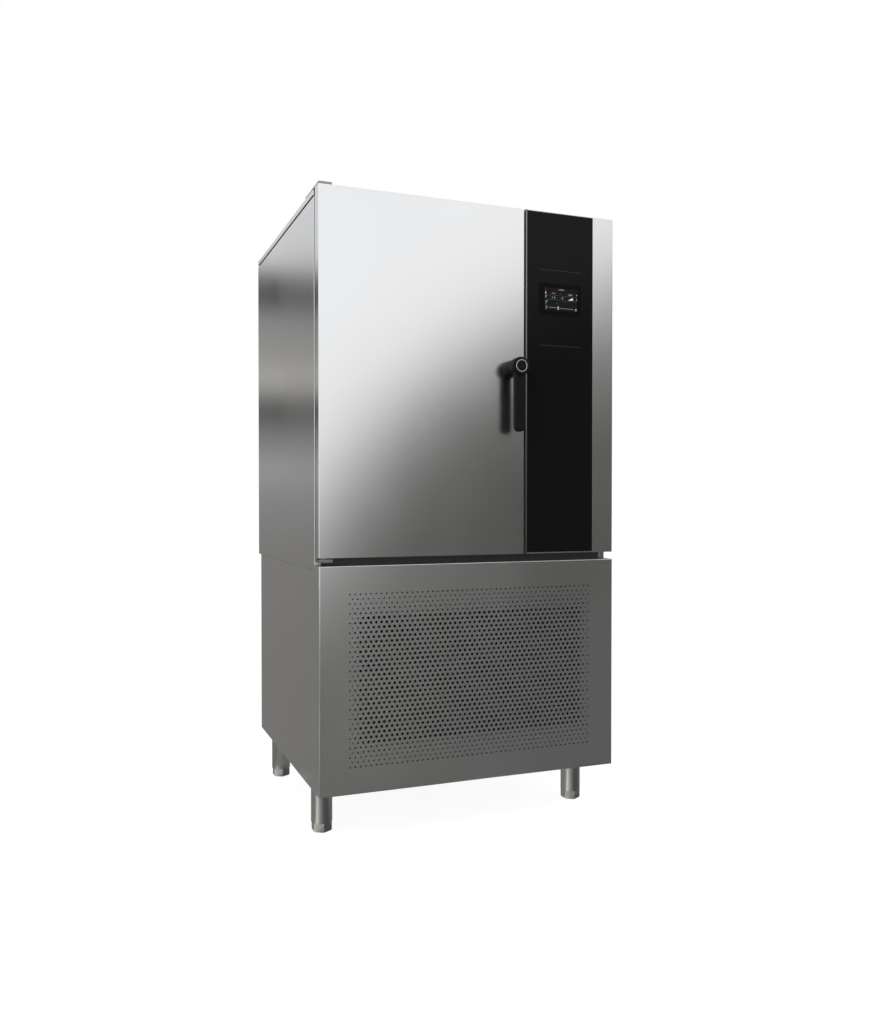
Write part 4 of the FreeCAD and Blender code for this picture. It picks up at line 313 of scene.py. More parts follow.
# Nearly all of a noise lies between these two values.
NOISE_LOW, NOISE_HIGH = 0.3, 0.7


def show(tree, surface, value, tones=None, gloss=None, height_mm=0.0):
    """Lets a pattern shade the colour between two tones, move the roughness, and raise relief."""
    span = {"Value": value, "From Min": NOISE_LOW, "From Max": NOISE_HIGH}
    if tones:
        share = add(tree, "ShaderNodeMapRange", span)
        mixed = add(tree, "ShaderNodeMix", {0: share.outputs[0], 6: linear(tones[0]),
                                            7: linear(tones[1])}, data_type="RGBA")
        tree.links.new(mixed.outputs[2], surface.inputs["Base Color"])
    if gloss:
        moved = add(tree, "ShaderNodeMapRange", {**span, "To Min": gloss[0], "To Max": gloss[1]})
        tree.links.new(moved.outputs[0], surface.inputs["Roughness"])
    if height_mm:
        raised = add(tree, "ShaderNodeBump", {"Strength": 1.0, "Distance": height_mm * MM,
                                              "Height": value})
        tree.links.new(raised.outputs[0], surface.inputs["Normal"])


CLOUD_MM, CLOUD_SHARE, GLOSS_PLAY = (260.0, 260.0, 420.0), 0.65, 0.02


def brushed(name, dark, light, roughness, grain_mm, height_mm):
    """Steel ground with a belt: long fine scratches over slow clouds in the sheet."""
    finish, tree, surface = new_finish(name, light, 1.0, roughness)
    grain = pattern(tree, grain_mm, Detail=3.0)
    cloud = pattern(tree, CLOUD_MM, Detail=1.0)
    both = add(tree, "ShaderNodeMix", {0: CLOUD_SHARE, 2: grain, 3: cloud}).outputs[0]
    show(tree, surface, both, (dark, light), (roughness - GLOSS_PLAY, roughness + GLOSS_PLAY))
    show(tree, surface, grain, height_mm=height_mm)
    return finish


def lathe(bm, profile_mm, steps=64):
    """Turns a closed profile of (radius, height) in millimetres about Z, as on a lathe."""
    verts = [bm.verts.new((radius * MM, 0, height * MM)) for radius, height in profile_mm]
    edges = [bm.edges.new((a, b)) for a, b in zip(verts, verts[1:] + verts[:1])]
    bmesh.ops.spin(bm, geom=verts + edges, cent=(0, 0, 0), axis=(0, 0, 1),
                   angle=math.tau, steps=steps, use_merge=True)
    bmesh.ops.remove_doubles(bm, verts=bm.verts, dist=WELD)
    bmesh.ops.recalc_face_normals(bm, faces=bm.faces)


def put_in(bm, other, move=(0, 0, 0)):
    """Moves a mesh made by itself to its place and takes it into a piece."""
    bmesh.ops.translate(other, verts=other.verts, vec=move)
    carrier = bpy.data.meshes.new("carrier")
    other.to_mesh(carrier)
    other.free()
    bm.from_mesh(carrier)
    bpy.data.meshes.remove(carrier)


def rounded(bm, edges, width_mm, segments=2):
    """Rounds edges as a file, a press tool or a mould does."""
    bmesh.ops.bevel(bm, geom=edges, offset=width_mm * MM, offset_type="OFFSET", segments=segments,
                    profile=0.5, affect="EDGES", clamp_overlap=True, material=-1)


def sharp_edges(bm, degrees):
    """The edges where two faces meet at more than an angle."""
    return [edge for edge in bm.edges
            if len(edge.link_faces) == 2 and edge.calc_face_angle(0.0) > math.radians(degrees)]


def to_piece(name, bm, finish, body, slot_name, *nodes, smooth=30.0):
    """Closes a mesh into a piece: shaded smooth up to an angle, finished, and put on its body."""
    mesh = bpy.data.meshes.new(name)
    for face in bm.faces:
        face.smooth = True
    bm.to_mesh(mesh)
    bm.free()
    mesh.set_sharp_from_angle(angle=math.radians(smooth))
    mesh.materials.append(finish)
    piece = bpy.data.objects.new(name, mesh)
    scene.collection.objects.link(piece)
    piece.modifiers.new("even_normals", "WEIGHTED_NORMAL").keep_sharp = True
    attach(piece, body)
    if nodes:
        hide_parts(*nodes)
    return piece


# Drawing lines run along the tube, 1 mm apart so that they show.
tube_steel = brushed("drawn_stainless_tube", "#C0C1BF", "#C8C9C7", 0.20, (1.0, 1.0, 60.0), 0.0005)
inside, bore = LEG_RADIUS - LEG_WALL, SCREW_RADIUS + SCREW_PLAY
tubes = bmesh.new()
for foot in FEET:
    low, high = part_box(foot)
    spot = Vector(((low.x + high.x) / 2, (low.y + high.y) / 2, 0.0))
    tube = bmesh.new()
    lathe(tube, [(bore, HEX_HEIGHT), (LEG_RADIUS - TUBE_EDGE, HEX_HEIGHT),
                 (LEG_RADIUS, HEX_HEIGHT + TUBE_EDGE), (LEG_RADIUS, LEG_TOP), (inside, LEG_TOP),
                 (inside, PLUG_TOP), (bore, PLUG_TOP)])
    put_in(tubes, tube, spot)

    adjuster = bmesh.new()
    bmesh.ops.create_cone(adjuster, segments=6, radius1=HEX_RADIUS * MM, radius2=HEX_RADIUS * MM,
                          depth=HEX_HEIGHT * MM, cap_ends=True,
                          matrix=Matrix.Translation(spot + Vector((0, 0, HEX_HEIGHT * MM / 2))))
    rim = [edge for edge in adjuster.edges if all(v.co.z < NEAR for v in edge.verts)]
    rounded(adjuster, rim, HEX_BEVEL, 1)
    rounded(adjuster, sharp_edges(adjuster, 20), HEX_EDGE, 3)
    screw = bmesh.new()
    level = HEX_HEIGHT - SCREW_RUNOUT
    thread = [(0.0, level), (SCREW_RADIUS, level)]
    level = HEX_HEIGHT + SCREW_RUNOUT
    while level < SCREW_TOP - SCREW_PITCH:
        thread += [(SCREW_RADIUS, level), (SCREW_RADIUS - THREAD_DEPTH, level + SCREW_PITCH / 2)]
        level += SCREW_PITCH
    thread += [(SCREW_RADIUS - THREAD_DEPTH, SCREW_TOP), (0.0, SCREW_TOP)]
    lathe(screw, thread, 24)
    put_in(adjuster, screw, spot)
    to_piece(f"{foot}_adjuster", adjuster, tube_steel, foot, "foot_steel", foot)
to_piece("leg_tubes", tubes, tube_steel, "cabinet", "tube_steel", "legs")

# ---------------------------------------- base tray, posts, deck, back
# The base stands on a folded tray of galvanised sheet. Four angle posts carry the deck, and a
# panel with ventilation slots closes the back. None of it is painted, so the zinc shows.
body_of_node = {name: body for body, members in frame["record"]["behaviour"]["bodies"].items()
                for name in members}
slot_of_node = {part["node"]: part["material_slot"] for part in frame["record"]["subparts"]}
FLAT_ANGLE = math.radians(0.6)


def merged(node):
    """A copy of a frame piece's mesh, its triangles joined to whole faces again."""
    bm = bmesh.new()
    bm.from_mesh(frame["nodes"][node].data)
    bmesh.ops.remove_doubles(bm, verts=bm.verts, dist=WELD)
    bmesh.ops.dissolve_limit(bm, angle_limit=FLAT_ANGLE, verts=bm.verts, edges=bm.edges)
    return bm


def finished(node, finish, width_mm=0.35, sharp=32.0, bm=None):
    """A frame piece in its finish, with every sharp edge rounded as on the real piece."""
    bm = bm or merged(node)
    rounded(bm, sharp_edges(bm, sharp), width_mm)
    return to_piece(f"{node}_finished", bm, finish, body_of_node[node], slot_of_node[node], node)


CELLS = "ShaderNodeTexVoronoi"


def patterned(name, hex_colour, metallic, roughness, size_mm, tones=None, gloss=None,
              height_mm=0.0, kind=NOISE, detail=2.0, **sockets):
    """A finish that shows one pattern, in its tones, its gloss or its relief."""
    finish, tree, surface = new_finish(name, hex_colour, metallic, roughness, **sockets)
    value = pattern(tree, size_mm, kind, Detail=detail)
    show(tree, surface, value, tones, gloss, height_mm)
    return finish


# Zinc spangle: frost-like grains about 9 mm across, each a slightly other grey.
galvanised = patterned("galvanised_sheet", "#A6AAAB", 1.0, 0.42, (9.0, 9.0, 9.0),
                       ("#A2A6A7", "#ABAFB0"), (0.40, 0.46), kind=CELLS, detail=0.0)
for node in ("base_tray", "base_posts", "base_deck", "base_rear_panel"):
    finished(node, galvanised)

# ---------------------------------------- side sheets of the base
# Two stainless sheets, ground upright, their rear edges folded in. They close the base beside the
# posts and stop just short of the cabinet, which leaves a fine dark seam.
SEAM, PLAIN_EDGE = 0.9, 0.5
# The real grain is 0.1 mm wide. It is drawn 0.8 mm wide and very shallow, so that it still shows.
UPRIGHT_GRAIN, GRAIN_DEPTH = (0.8, 0.8, 70.0), 0.0003
satin_steel = brushed("satin_stainless_sheet", "#C8C8C8", "#CCCCCC", 0.23, UPRIGHT_GRAIN,
                      GRAIN_DEPTH)
for node in ("base_side_left", "base_side_right"):
    bm = merged(node)
    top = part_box(node)[1].z
    for vert in bm.verts:
        if vert.co.z > top - NEAR:
            vert.co.z = top - SEAM * MM
    finished(node, satin_steel, PLAIN_EDGE, bm=bm)

# ---------------------------------------- perforated front of the base
# One stainless sheet punched with staggered rows of round holes, small in the outer rows and large
# inside, then folded back round both corners and at its top and bottom edges.
SHEET = 1.2
GRILLE_HALF, GRILLE_FACE = 450.0, -405.5
GRILLE_LOW, GRILLE_HIGH = 146.0, 762.7
CORNER_BEND, EDGE_BEND, GRILLE_RETURN, GRILLE_LIP = 4.0, 2.0, 59.0, 12.0
ACROSS, UP = 14.9, 12.95
COLUMNS, ROWS, FIRST_ROW = 50, 37, 219.5
SMALL_HOLE, LARGE_HOLE, HOLE_SIDES = 2.1, 4.15, 12
# How far a hole has grown from small to large: counted in from the top and the bottom row, and
# from the sides of an even and of an odd row. Each wave: its height, its turn per column and row.
ROW_SHARES = (0.12, 0.0, 0.04, 0.2, 0.3)
COLUMN_SHARES = ((0.08, 0.4), (-0.15, 0.22, 0.72))
FULL_SHARE, WAVES = 0.92, ((0.07, 0.62, 0.55), (0.05, -0.21, 1.05))
HALF_X, HALF_Z = ACROSS * MM / 2, UP * MM / 2
CELL_WELD, TOUCH, BEND_STEPS = 0.01 * MM, 0.05 * MM, 5


def hole_radius(column, columns, row):
    """Small holes in the outer five rows and two columns, large ones inside in slow waves."""
    from_end, from_side = min(row, ROWS - 1 - row), min(column, columns - 1 - column)
    shares = COLUMN_SHARES[row % 2]
    share = min(ROW_SHARES[from_end] if from_end < len(ROW_SHARES) else 1.0,
                shares[from_side] if from_side < len(shares) else 1.0)
    waves = sum(height * math.sin(column * across + row * up) for height, across, up in WAVES)
    return SMALL_HOLE + (LARGE_HOLE - SMALL_HOLE) * share * (FULL_SHARE + waves)


def punched_cell(bm, middle, level, radius):
    """One cell of the sheet: six five-sided faces between its rim and its hole. Made by hand, as
    there are 1832 cells and an operator on the growing sheet takes minutes."""
    rim = [bm.verts.new((middle + x, GRILLE_FACE * MM, level + z)) for x, z in (
        (0, -HALF_Z), (HALF_X, -HALF_Z), (HALF_X, HALF_Z), (0, HALF_Z), (-HALF_X, HALF_Z),
        (-HALF_X, -HALF_Z))]
    angles = [math.tau * side / HOLE_SIDES - math.pi / 2 for side in range(HOLE_SIDES)]
    ring = [bm.verts.new((middle + radius * math.cos(angle), GRILLE_FACE * MM,
                          level + radius * math.sin(angle))) for angle in angles]
    for here in range(6):
        there = (here + 1) % 6
        bm.faces.new((rim[here], rim[there], ring[2 * there], ring[2 * here + 1], ring[2 * here]))


sheet = bmesh.new()
for row in range(ROWS):
    in_row = COLUMNS - row % 2
    level = (FIRST_ROW + row * UP) * MM
    for column in range(in_row):
        middle = (column - (in_row - 1) / 2) * ACROSS * MM
        punched_cell(sheet, middle, level, hole_radius(column, in_row, row) * MM)
    if in_row < COLUMNS:
        for side in (-1, 1):
            inner, outer = side * HALF_X * in_row, side * HALF_X * COLUMNS
            sheet.faces.new([sheet.verts.new((x, GRILLE_FACE * MM, level + z)) for x, z in (
                (inner, -HALF_Z), (outer, -HALF_Z), (outer, HALF_Z), (inner, HALF_Z))])
bmesh.ops.remove_doubles(sheet, verts=sheet.verts, dist=CELL_WELD)


def rim_at(axis, value_mm, test=lambda co: True):
    """The open edges of the sheet that lie in one plane and pass a further test."""
    return [edge for edge in sheet.edges if edge.is_boundary and all(
        abs(v.co[axis] - value_mm * MM) < TOUCH and test(v.co) for v in edge.verts)]


def drawn_out(edges, axis, to_mm):
    """Draws an edge of the sheet out to a plane across one axis."""
    made = bmesh.ops.extrude_edge_only(sheet, edges=edges)["geom"]
    for vert in (item for item in made if isinstance(item, bmesh.types.BMVert)):
        vert.co[axis] = to_mm * MM


def folded(edges, centre_mm, axis, degrees):
    """Bends an edge of the sheet over a round tool."""
    geom = list(dict.fromkeys(vert for edge in edges for vert in edge.verts)) + edges
    bmesh.ops.spin(sheet, geom=geom, cent=[c * MM for c in centre_mm], axis=axis,
                   angle=math.radians(degrees), steps=BEND_STEPS, use_duplicate=False)


FLAT_HALF, CORNER_Y = GRILLE_HALF - CORNER_BEND, GRILLE_FACE + CORNER_BEND
FLAT_LOW, FLAT_HIGH = GRILLE_LOW + EDGE_BEND, GRILLE_HIGH - EDGE_BEND
BEND_BEGINS, BEND_ENDS = (FLAT_HALF - 0.2) * MM, (FLAT_HALF + 0.1) * MM
for side in (-1, 1):
    drawn_out(rim_at(0, side * ACROSS * COLUMNS / 2), 0, side * FLAT_HALF)
drawn_out(rim_at(2, FIRST_ROW - UP / 2), 2, FLAT_LOW)
drawn_out(rim_at(2, FIRST_ROW + (ROWS - 0.5) * UP), 2, FLAT_HIGH)
for side in (-1, 1):
    folded(rim_at(0, side * FLAT_HALF), (side * FLAT_HALF, CORNER_Y, 0.0), (0, 0, 1), 90 * side)
    drawn_out(rim_at(0, side * GRILLE_HALF, lambda co: abs(co.y - CORNER_Y * MM) < TOUCH), 1,
              GRILLE_FACE + GRILLE_RETURN)
for flat, edge, turn in ((FLAT_HIGH, GRILLE_HIGH, -90), (FLAT_LOW, GRILLE_LOW, 90)):
    folded(rim_at(2, flat, lambda co: abs(co.x) < BEND_ENDS
                  and co.y < GRILLE_FACE * MM + TOUCH),
           (0.0, GRILLE_FACE + EDGE_BEND, flat), (1, 0, 0), turn)
    drawn_out(rim_at(2, edge, lambda co: abs(co.x) < BEND_ENDS), 1, GRILLE_FACE + GRILLE_LIP)
# The sides were left short by the front's bend: draw them level with it.
for flat, edge in ((FLAT_LOW, GRILLE_LOW), (FLAT_HIGH, GRILLE_HIGH)):
    drawn_out(rim_at(2, flat, lambda co: co.y > GRILLE_FACE * MM - TOUCH
                     and abs(co.x) > BEND_BEGINS), 2, edge)
bmesh.ops.recalc_face_normals(sheet, faces=sheet.faces)
if min(sheet.faces, key=lambda face: face.calc_center_median().y).normal.y > 0:
    bmesh.ops.reverse_faces(sheet, faces=sheet.faces)
bmesh.ops.solidify(sheet, geom=sheet.faces, thickness=SHEET * MM)
# Ground like the sides, a little duller, with the grain running down between the holes.
grille_steel = brushed("perforated_stainless_sheet", "#C8C8C7", "#CCCCCB", 0.25, UPRIGHT_GRAIN,
                       GRAIN_DEPTH)
# Painted shade: each hole's wall is a dark grey, so the holes look black. The grey varies in
# flecks of 0.5 mm.
hole_shade_finish = patterned("painted_hole_shade", "#2E2E2E", 1.0, 0.5, (0.5, 0.5, 0.5),
                     ("#282828", "#343434"))
front_sheet = to_piece("base_front_sheet", sheet, grille_steel, "cabinet", "satin_steel",
                       "base_front_grille", smooth=40.0)
front_sheet.data.materials.append(hole_shade_finish)
# A hole's wall, which gets the painted shade, looks sideways and lies well inside the flat front.
WALL_LEAN, WALL_MARGIN = 0.3, 1.0
for face in front_sheet.data.polygons:
    middle = face.center / MM
    if (abs(face.normal.y) < WALL_LEAN and middle.y < GRILLE_FACE + SHEET
            and FLAT_LOW + WALL_MARGIN < middle.z < FLAT_HIGH - WALL_MARGIN
            and abs(middle.x) < FLAT_HALF - WALL_MARGIN):
        face.material_index = 1

# ---------------------------------------- black shade mat behind the grille
# A black foam sheet behind the punched sheet is painted shade: it stands for the dark inside of
# the base and is why the holes look black from outside.
MAT_MM, MAT_CUTS, MAT_EDGE = ((-382.0, 382.0), (-392.0, -386.0), (196.0, 712.0)), 11, 1.0
# Open pores about 2 mm across.
shade_mat_finish = patterned("painted_shade_foam", "#0B0B0B", 0.0, 0.95, (2.0, 2.0, 2.0),
                        ("#080808", "#101010"), height_mm=0.6, kind=CELLS, detail=0.0)
bm = bmesh.new()
bmesh.ops.create_cube(bm, size=1.0)
for axis, (low, high) in enumerate(MAT_MM):
    for vert in bm.verts:
        vert.co[axis] = (low if vert.co[axis] < 0 else high) * MM
bmesh.ops.subdivide_edges(bm, edges=bm.edges, cuts=MAT_CUTS, use_grid_fill=True)
rounded(bm, sharp_edges(bm, 45), MAT_EDGE)
to_piece("grille_shade_mat", bm, shade_mat_finish, "cabinet", "black_rubber")

# ---------------------------------------- condensing unit
# Compressor, liquid receiver, fan shroud and fan motor are pressed steel with black enamel. The
# compressor stands on rubber mounts. The condenser is copper tube in aluminium fins, its fan is
# pressed aluminium, and copper tube joins them. What is thin or fine has finer edges.
SOFT_EDGE, FINE_EDGE = 0.6, 0.2
# Sprayed enamel: a faint orange peel with 2.5 mm between its bumps.
black_enamel = patterned("black_enamel", "#141414", 0.0, 0.38, (2.5, 2.5, 2.5),
                         ("#121212", "#171717"), (0.34, 0.42), 0.02, detail=1.0)
for node in ("compressor", "liquid_receiver", "condenser_shroud", "condenser_fan_motor"):
    finished(node, black_enamel, SOFT_EDGE)
# Rubber takes the spark-eroded skin of its mould, 1.5 mm from bump to bump.
black_rubber = patterned("moulded_black_rubber", "#191919", 0.0, 0.7, (1.5, 1.5, 1.5),
                         ("#151515", "#1D1D1D"), height_mm=0.04)
finished("compressor_mounts", black_rubber, PLAIN_EDGE)
# The fins stand 3 mm apart. Each catches the light a little differently.
fin_stock = patterned("aluminium_fin_stock", "#D4D6D8", 1.0, 0.34, (3.0, 3.0, 400.0),
                      ("#C4C7CA", "#DCDEE0"), height_mm=0.05, detail=1.0)
finished("condenser_coil", fin_stock, FINE_EDGE)
# Rolling lines of the strip that the blades are pressed from.
fan_aluminium = patterned("pressed_aluminium", "#C9CBCD", 1.0, 0.36, (1.5, 60.0, 1.5),
                          ("#BFC1C3", "#CFD1D3"), height_mm=0.01)
finished("condenser_fan", fan_aluminium)
# Handled copper: slow darker patches some 40 mm long.
copper = patterned("drawn_copper_tube", "#D08A62", 1.0, 0.30, (40.0, 40.0, 40.0),
                   ("#B06F4B", "#DD9A72"), (0.24, 0.42), detail=3.0)
finished("refrigerant_lines", copper, FINE_EDGE)

# ---------------------------------------- electrical box and mains gland
# A galvanised box on the base's right side holds the contactors. The mains cord would come in
# through a black nylon gland, screwed into the rear panel.
finished("electrical_box", galvanised, PLAIN_EDGE)
# The mould's grain, 1.2 mm from bump to bump, scatters the shine.
black_nylon = patterned("black_moulded_nylon", "#1B1B1B", 0.0, 0.5, (1.2, 1.2, 1.2),
                        ("#171717", "#1F1F1F"), (0.45, 0.55), 0.03)
finished("mains_gland", black_nylon)

# ---------------------------------------- insulated body and liner
# Foam poured between the liner and the casing makes the body stiff. The liner is bright stainless
# sheet, ground level. Back and underside are galvanised. The front frame round the opening and the
# sheet under the cover are painted a flat dark grey as painted shade, which makes every gap beside
# the door look black.
# Closed cells about 1.5 mm across.
foam = patterned("rigid_polyurethane_foam", "#D9CFA0", 0.0, 0.85, (1.5, 1.5, 1.5),
                 ("#CDC292", "#E2D9AE"), height_mm=0.2, kind=CELLS, detail=0.0)
finished("cabinet_insulation", foam, FINE_EDGE)
# The liner's scratches run level, 90 mm long.
LEVEL_GRAIN = (90.0, 1.0, 1.0)
liner_steel = brushed("bright_stainless_liner", "#CFD0D1", "#D6D7D8", 0.22, LEVEL_GRAIN, 0.001)
finished("inner_liner", liner_steel, PLAIN_EDGE)
for node in ("cabinet_back", "cabinet_underside"):
    finished(node, galvanised)
# Painted shade for the gaps: a flat dark grey with a soft orange peel relief, 4 mm from crest to
# crest.
gap_shade_finish = patterned("painted_gap_shade", "#484847", 0.0, 0.42, (4.0, 4.0, 4.0),
                      ("#444443", "#4C4C4B"), (0.38, 0.46), 0.02, detail=1.0)
for node in ("front_frame", "cabinet_top"):
    finished(node, gap_shade_finish)

# ---------------------------------------- cabinet sides and top cover
# Stainless side sheets with folded front and rear edges. The cover is a shallow folded lid on the
# raised rim of the sheet below, and leaves a 6 mm shadow gap above the sides.
SIDE_BEND = 1.6
for node in ("cabinet_side_left", "cabinet_side_right"):
    bm = merged(node)
    low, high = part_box(node)
    outer = low.x if low.x < 0 else high.x
    rounded(bm, [edge for edge in sharp_edges(bm, 60) if all(
        abs(v.co.x - outer) < TOUCH and abs(v.co.y - low.y) < TOUCH for v in edge.verts)],
            SIDE_BEND, 4)
    finished(node, satin_steel, PLAIN_EDGE, bm=bm)
finished("top_cover", satin_steel, SOFT_EDGE)

# ---------------------------------------- racks, baffle and drip tray
# Angle runners for ten trays on two uprights, one rack at each side of the chamber. The baffle and
# the tray under the evaporator are folded. All are of the liner's own sheet.
for node in ("rack_left", "rack_right", "air_baffle", "evaporator_drip_tray"):
    finished(node, liner_steel)

# ---------------------------------------- evaporator, fans and guards
# Two pressed fans on enamelled motors blow through the baffle's ports. Each port has a guard of
# black dipped wire: rings on spokes. Behind it stands the evaporator, fins on copper tube.
GUARD_MIDDLE, GUARD_OUTER, GUARD_X, WIRE = 31.0, 130.0, 104.0, 1.0
GUARD_RINGS, GUARD_SPOKES, WIRE_SIDES, RING_STEPS = 7, 8, 8, 72
finished("evaporator_coil", fin_stock, FINE_EDGE)
finished("evaporator_motors", black_enamel, SOFT_EDGE)
for node in ("evaporator_fan_lower", "evaporator_fan_upper"):
    finished(node, fan_aluminium)
guard_low, guard_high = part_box("fan_guards")
wire_turns = [math.tau * side / WIRE_SIDES for side in range(WIRE_SIDES)]
guards = bmesh.new()
for level in (guard_low.z / MM + GUARD_OUTER + WIRE, guard_high.z / MM - GUARD_OUTER - WIRE):
    guard = bmesh.new()
    for number in range(1, GUARD_RINGS + 1):
        radius = GUARD_OUTER * number / GUARD_RINGS
        lathe(guard, [(radius + WIRE * math.cos(turn), WIRE * math.sin(turn))
                      for turn in wire_turns], RING_STEPS)
    for number in range(GUARD_SPOKES // 2):
        bmesh.ops.create_cone(guard, segments=WIRE_SIDES, radius1=WIRE * MM, radius2=WIRE * MM,
                              depth=2 * GUARD_OUTER * MM, cap_ends=True,
                              matrix=Matrix.Rotation(math.tau * number / GUARD_SPOKES, 4, "Z")
                              @ Matrix.Rotation(math.pi / 2, 4, "Y"))
    bmesh.ops.rotate(guard, verts=guard.verts, matrix=Matrix.Rotation(math.pi / 2, 3, "Y"))
    put_in(guards, guard, Vector((GUARD_X, GUARD_MIDDLE, level)) * MM)
to_piece("fan_wire_guards", guards, black_enamel, "cabinet", "black_enamel", "fan_guards",
         smooth=60.0)

# ---------------------------------------- drain pipe
# Meltwater leaves the drip tray through a grey PVC pipe that slips over the tray's spigot and ends
# under the base, where a hose pushes on. Extruding leaves long faint lines along it.
grey_pvc = patterned("grey_pvc_pipe", "#9B9C9B", 0.0, 0.34, (1.0, 1.0, 160.0),
                     ("#959695", "#A1A2A1"), height_mm=0.01, detail=1.0)
finished("drain_pipe", grey_pvc, FINE_EDGE)

# ---------------------------------------- housing of the control strip
# A folded stainless column front beside the door, its right corner rounded, with a rebate for the
# glass. Its side towards the door is painted dark grey as painted shade in the gap, and the strip
# left of the glass is a darker, duller grey.
TRIM_WIDTH, GAP_DEPTH, LOOKS_ASIDE, LOOKS_AHEAD = 4.2, 1.0, -0.3, -0.5
bm = merged("control_housing")
gap_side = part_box("control_housing")[0].x
bmesh.ops.bisect_plane(bm, geom=bm.verts[:] + bm.edges[:] + bm.faces[:], dist=WELD / 2,
                       plane_co=(gap_side + TRIM_WIDTH * MM, 0, 0), plane_no=(1, 0, 0))
housing = finished("control_housing", satin_steel, SOFT_EDGE, bm=bm)
# A darker, duller grey for the strip beside the door gap, in streaks 0.8 mm wide and 40 mm long.
darker_strip_finish = patterned("darker_edge_grey", "#7D7E7E", 1.0, 0.3, (0.8, 0.8, 40.0),
                      ("#787979", "#828383"))
for finish in (gap_shade_finish, darker_strip_finish):
    housing.data.materials.append(finish)
# Faces looking into the door gap get the painted shade; the strip's front beside them gets the
# darker grey.
for face in housing.data.polygons:
    if face.normal.x < LOOKS_ASIDE and face.center.x < gap_side + GAP_DEPTH * MM:
        face.material_index = 1
    elif face.normal.y < LOOKS_AHEAD and face.center.x < gap_side + TRIM_WIDTH * MM:
        face.material_index = 2

# ---------------------------------------- control board and display
# The controller is a green board on standoffs inside the housing. The display is a moulded module
# behind the glass.
# Printed tracks under the mask, 2 mm apart.
board_green = patterned("solder_mask_board", "#1F5A33", 0.0, 0.35, (2.0, 30.0, 2.0),
                        ("#184A29", "#2A6E40"), kind=CELLS, detail=0.0)
finished("control_board", board_green, FINE_EDGE)
finished("display_module", black_nylon, FINE_EDGE)

# ---------------------------------------- control glass
# A full-height pane of toughened glass with ground edges, painted black at the back. Two fine grey
# lines and the frame round the screen are printed on it, a few hundredths of a millimetre thick.
FRONT, PANE_EDGE, PRINT = -405.5, 0.5, 0.03
LINE_X, LINES_Z, LINE_WIDTH = (203.5, 341.5), (1607.0, 1388.0), 1.2
FRAME_X, FRAME_Z, FRAME_ROUND = (201.0, 341.0), (1477.0, 1569.0), 8.0
black_glass, tree, surface = new_finish("back_painted_glass", "#141414", 0.0, 0.06,
                                        Specular_IOR_Level=0.055)
# The rollers of the furnace leave a very slow wave, 250 mm from crest to crest. Wiping leaves
# slightly duller patches 30 mm across.
show(tree, surface, pattern(tree, (250.0, 250.0, 120.0), Detail=0.0), height_mm=0.02)
show(tree, surface, pattern(tree, (30.0, 30.0, 30.0), Detail=2.0), gloss=(0.05, 0.09))
low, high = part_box("fascia_glass")
bm = bmesh.new()
bmesh.ops.create_cube(bm, size=1.0)
bmesh.ops.scale(bm, verts=bm.verts, vec=high - low)
bmesh.ops.translate(bm, verts=bm.verts, vec=(low + high) / 2)
rounded(bm, bm.edges[:], PANE_EDGE)
to_piece("fascia_glass_pane", bm, black_glass, "cabinet", "black_glass", "fascia_glass")


def ink(name, hex_colour, glow=0.0):
    """Screen-printed ink, or a lit part of the screen: a fine dot pattern in its gloss."""
    return patterned(name, hex_colour, 0.0, 0.30, (0.6, 0.6, 0.6), gloss=(0.25, 0.35), detail=0.0,
                     Specular_IOR_Level=0.06, Emission_Color=linear(hex_colour),
                     Emission_Strength=glow)


def plate(bm, x, z, proud_mm, radius_mm=0.0):
    """A flat print between two widths and two heights, its corners rounded by radius_mm."""
    made = bmesh.ops.create_grid(bm, x_segments=1, y_segments=1, size=0.5,
                                 matrix=Matrix.Rotation(math.pi / 2, 4, "X"))["verts"]
    bmesh.ops.scale(bm, verts=made, vec=Vector((x[1] - x[0], 1.0, z[1] - z[0])) * MM)
    middle = Vector((sum(x) / 2, FRONT - proud_mm, sum(z) / 2))
    bmesh.ops.translate(bm, verts=made, vec=middle * MM)
    if radius_mm:
        bmesh.ops.bevel(bm, geom=made, offset=radius_mm * MM, offset_type="OFFSET", segments=6,
                        profile=0.5, affect="VERTICES", clamp_overlap=True, material=-1)


def printed(name, finish, *plates):
    """Flat prints in one ink: each has its x from and to, z from and to, height and radius."""
    bm = bmesh.new()
    for item in plates:
        plate(bm, *item)
    return to_piece(name, bm, finish, "cabinet", "display")


printed("fascia_lines", ink("grey_screen_print", "#3E3E3E"),
        *((LINE_X, (z - LINE_WIDTH / 2, z + LINE_WIDTH / 2), PRINT) for z in LINES_Z))
printed("display_frame", ink("display_frame_print", "#070707"),
        (FRAME_X, FRAME_Z, PRINT, FRAME_ROUND))

# ---------------------------------------- screen
# The lit picture of a 5-inch module, seen through the glass. It shows plain figures, rules, a
# slider and simple marks in four rows. Ground, marks and what lies over them are each 0.03 mm on.
SCREEN_X, SCREEN_Z, SCREEN_ROUND = (219.8, 328.4), (1491.0, 1556.6), 1.0
GROUND, MARK, OVER = 0.06, 0.09, 0.12
lit_white = ink("screen_white", "#D2D6D8", 0.42)
lit_pale = ink("screen_pale", "#A4A8AA", 0.36)
lit_grey = ink("screen_grey", "#8A8D8F", 0.30)
dim_grey = ink("screen_dim", "#4A4A52", 0.25)
lit_orange = ink("screen_orange", "#C8641E", 0.50)
lit_teal = ink("screen_teal", "#41606A", 0.30)
lit_green = ink("screen_green", "#66785F", 0.30)
printed("screen_ground_print", ink("screen_ground", "#161616", 0.15),
        (SCREEN_X, SCREEN_Z, GROUND, SCREEN_ROUND))
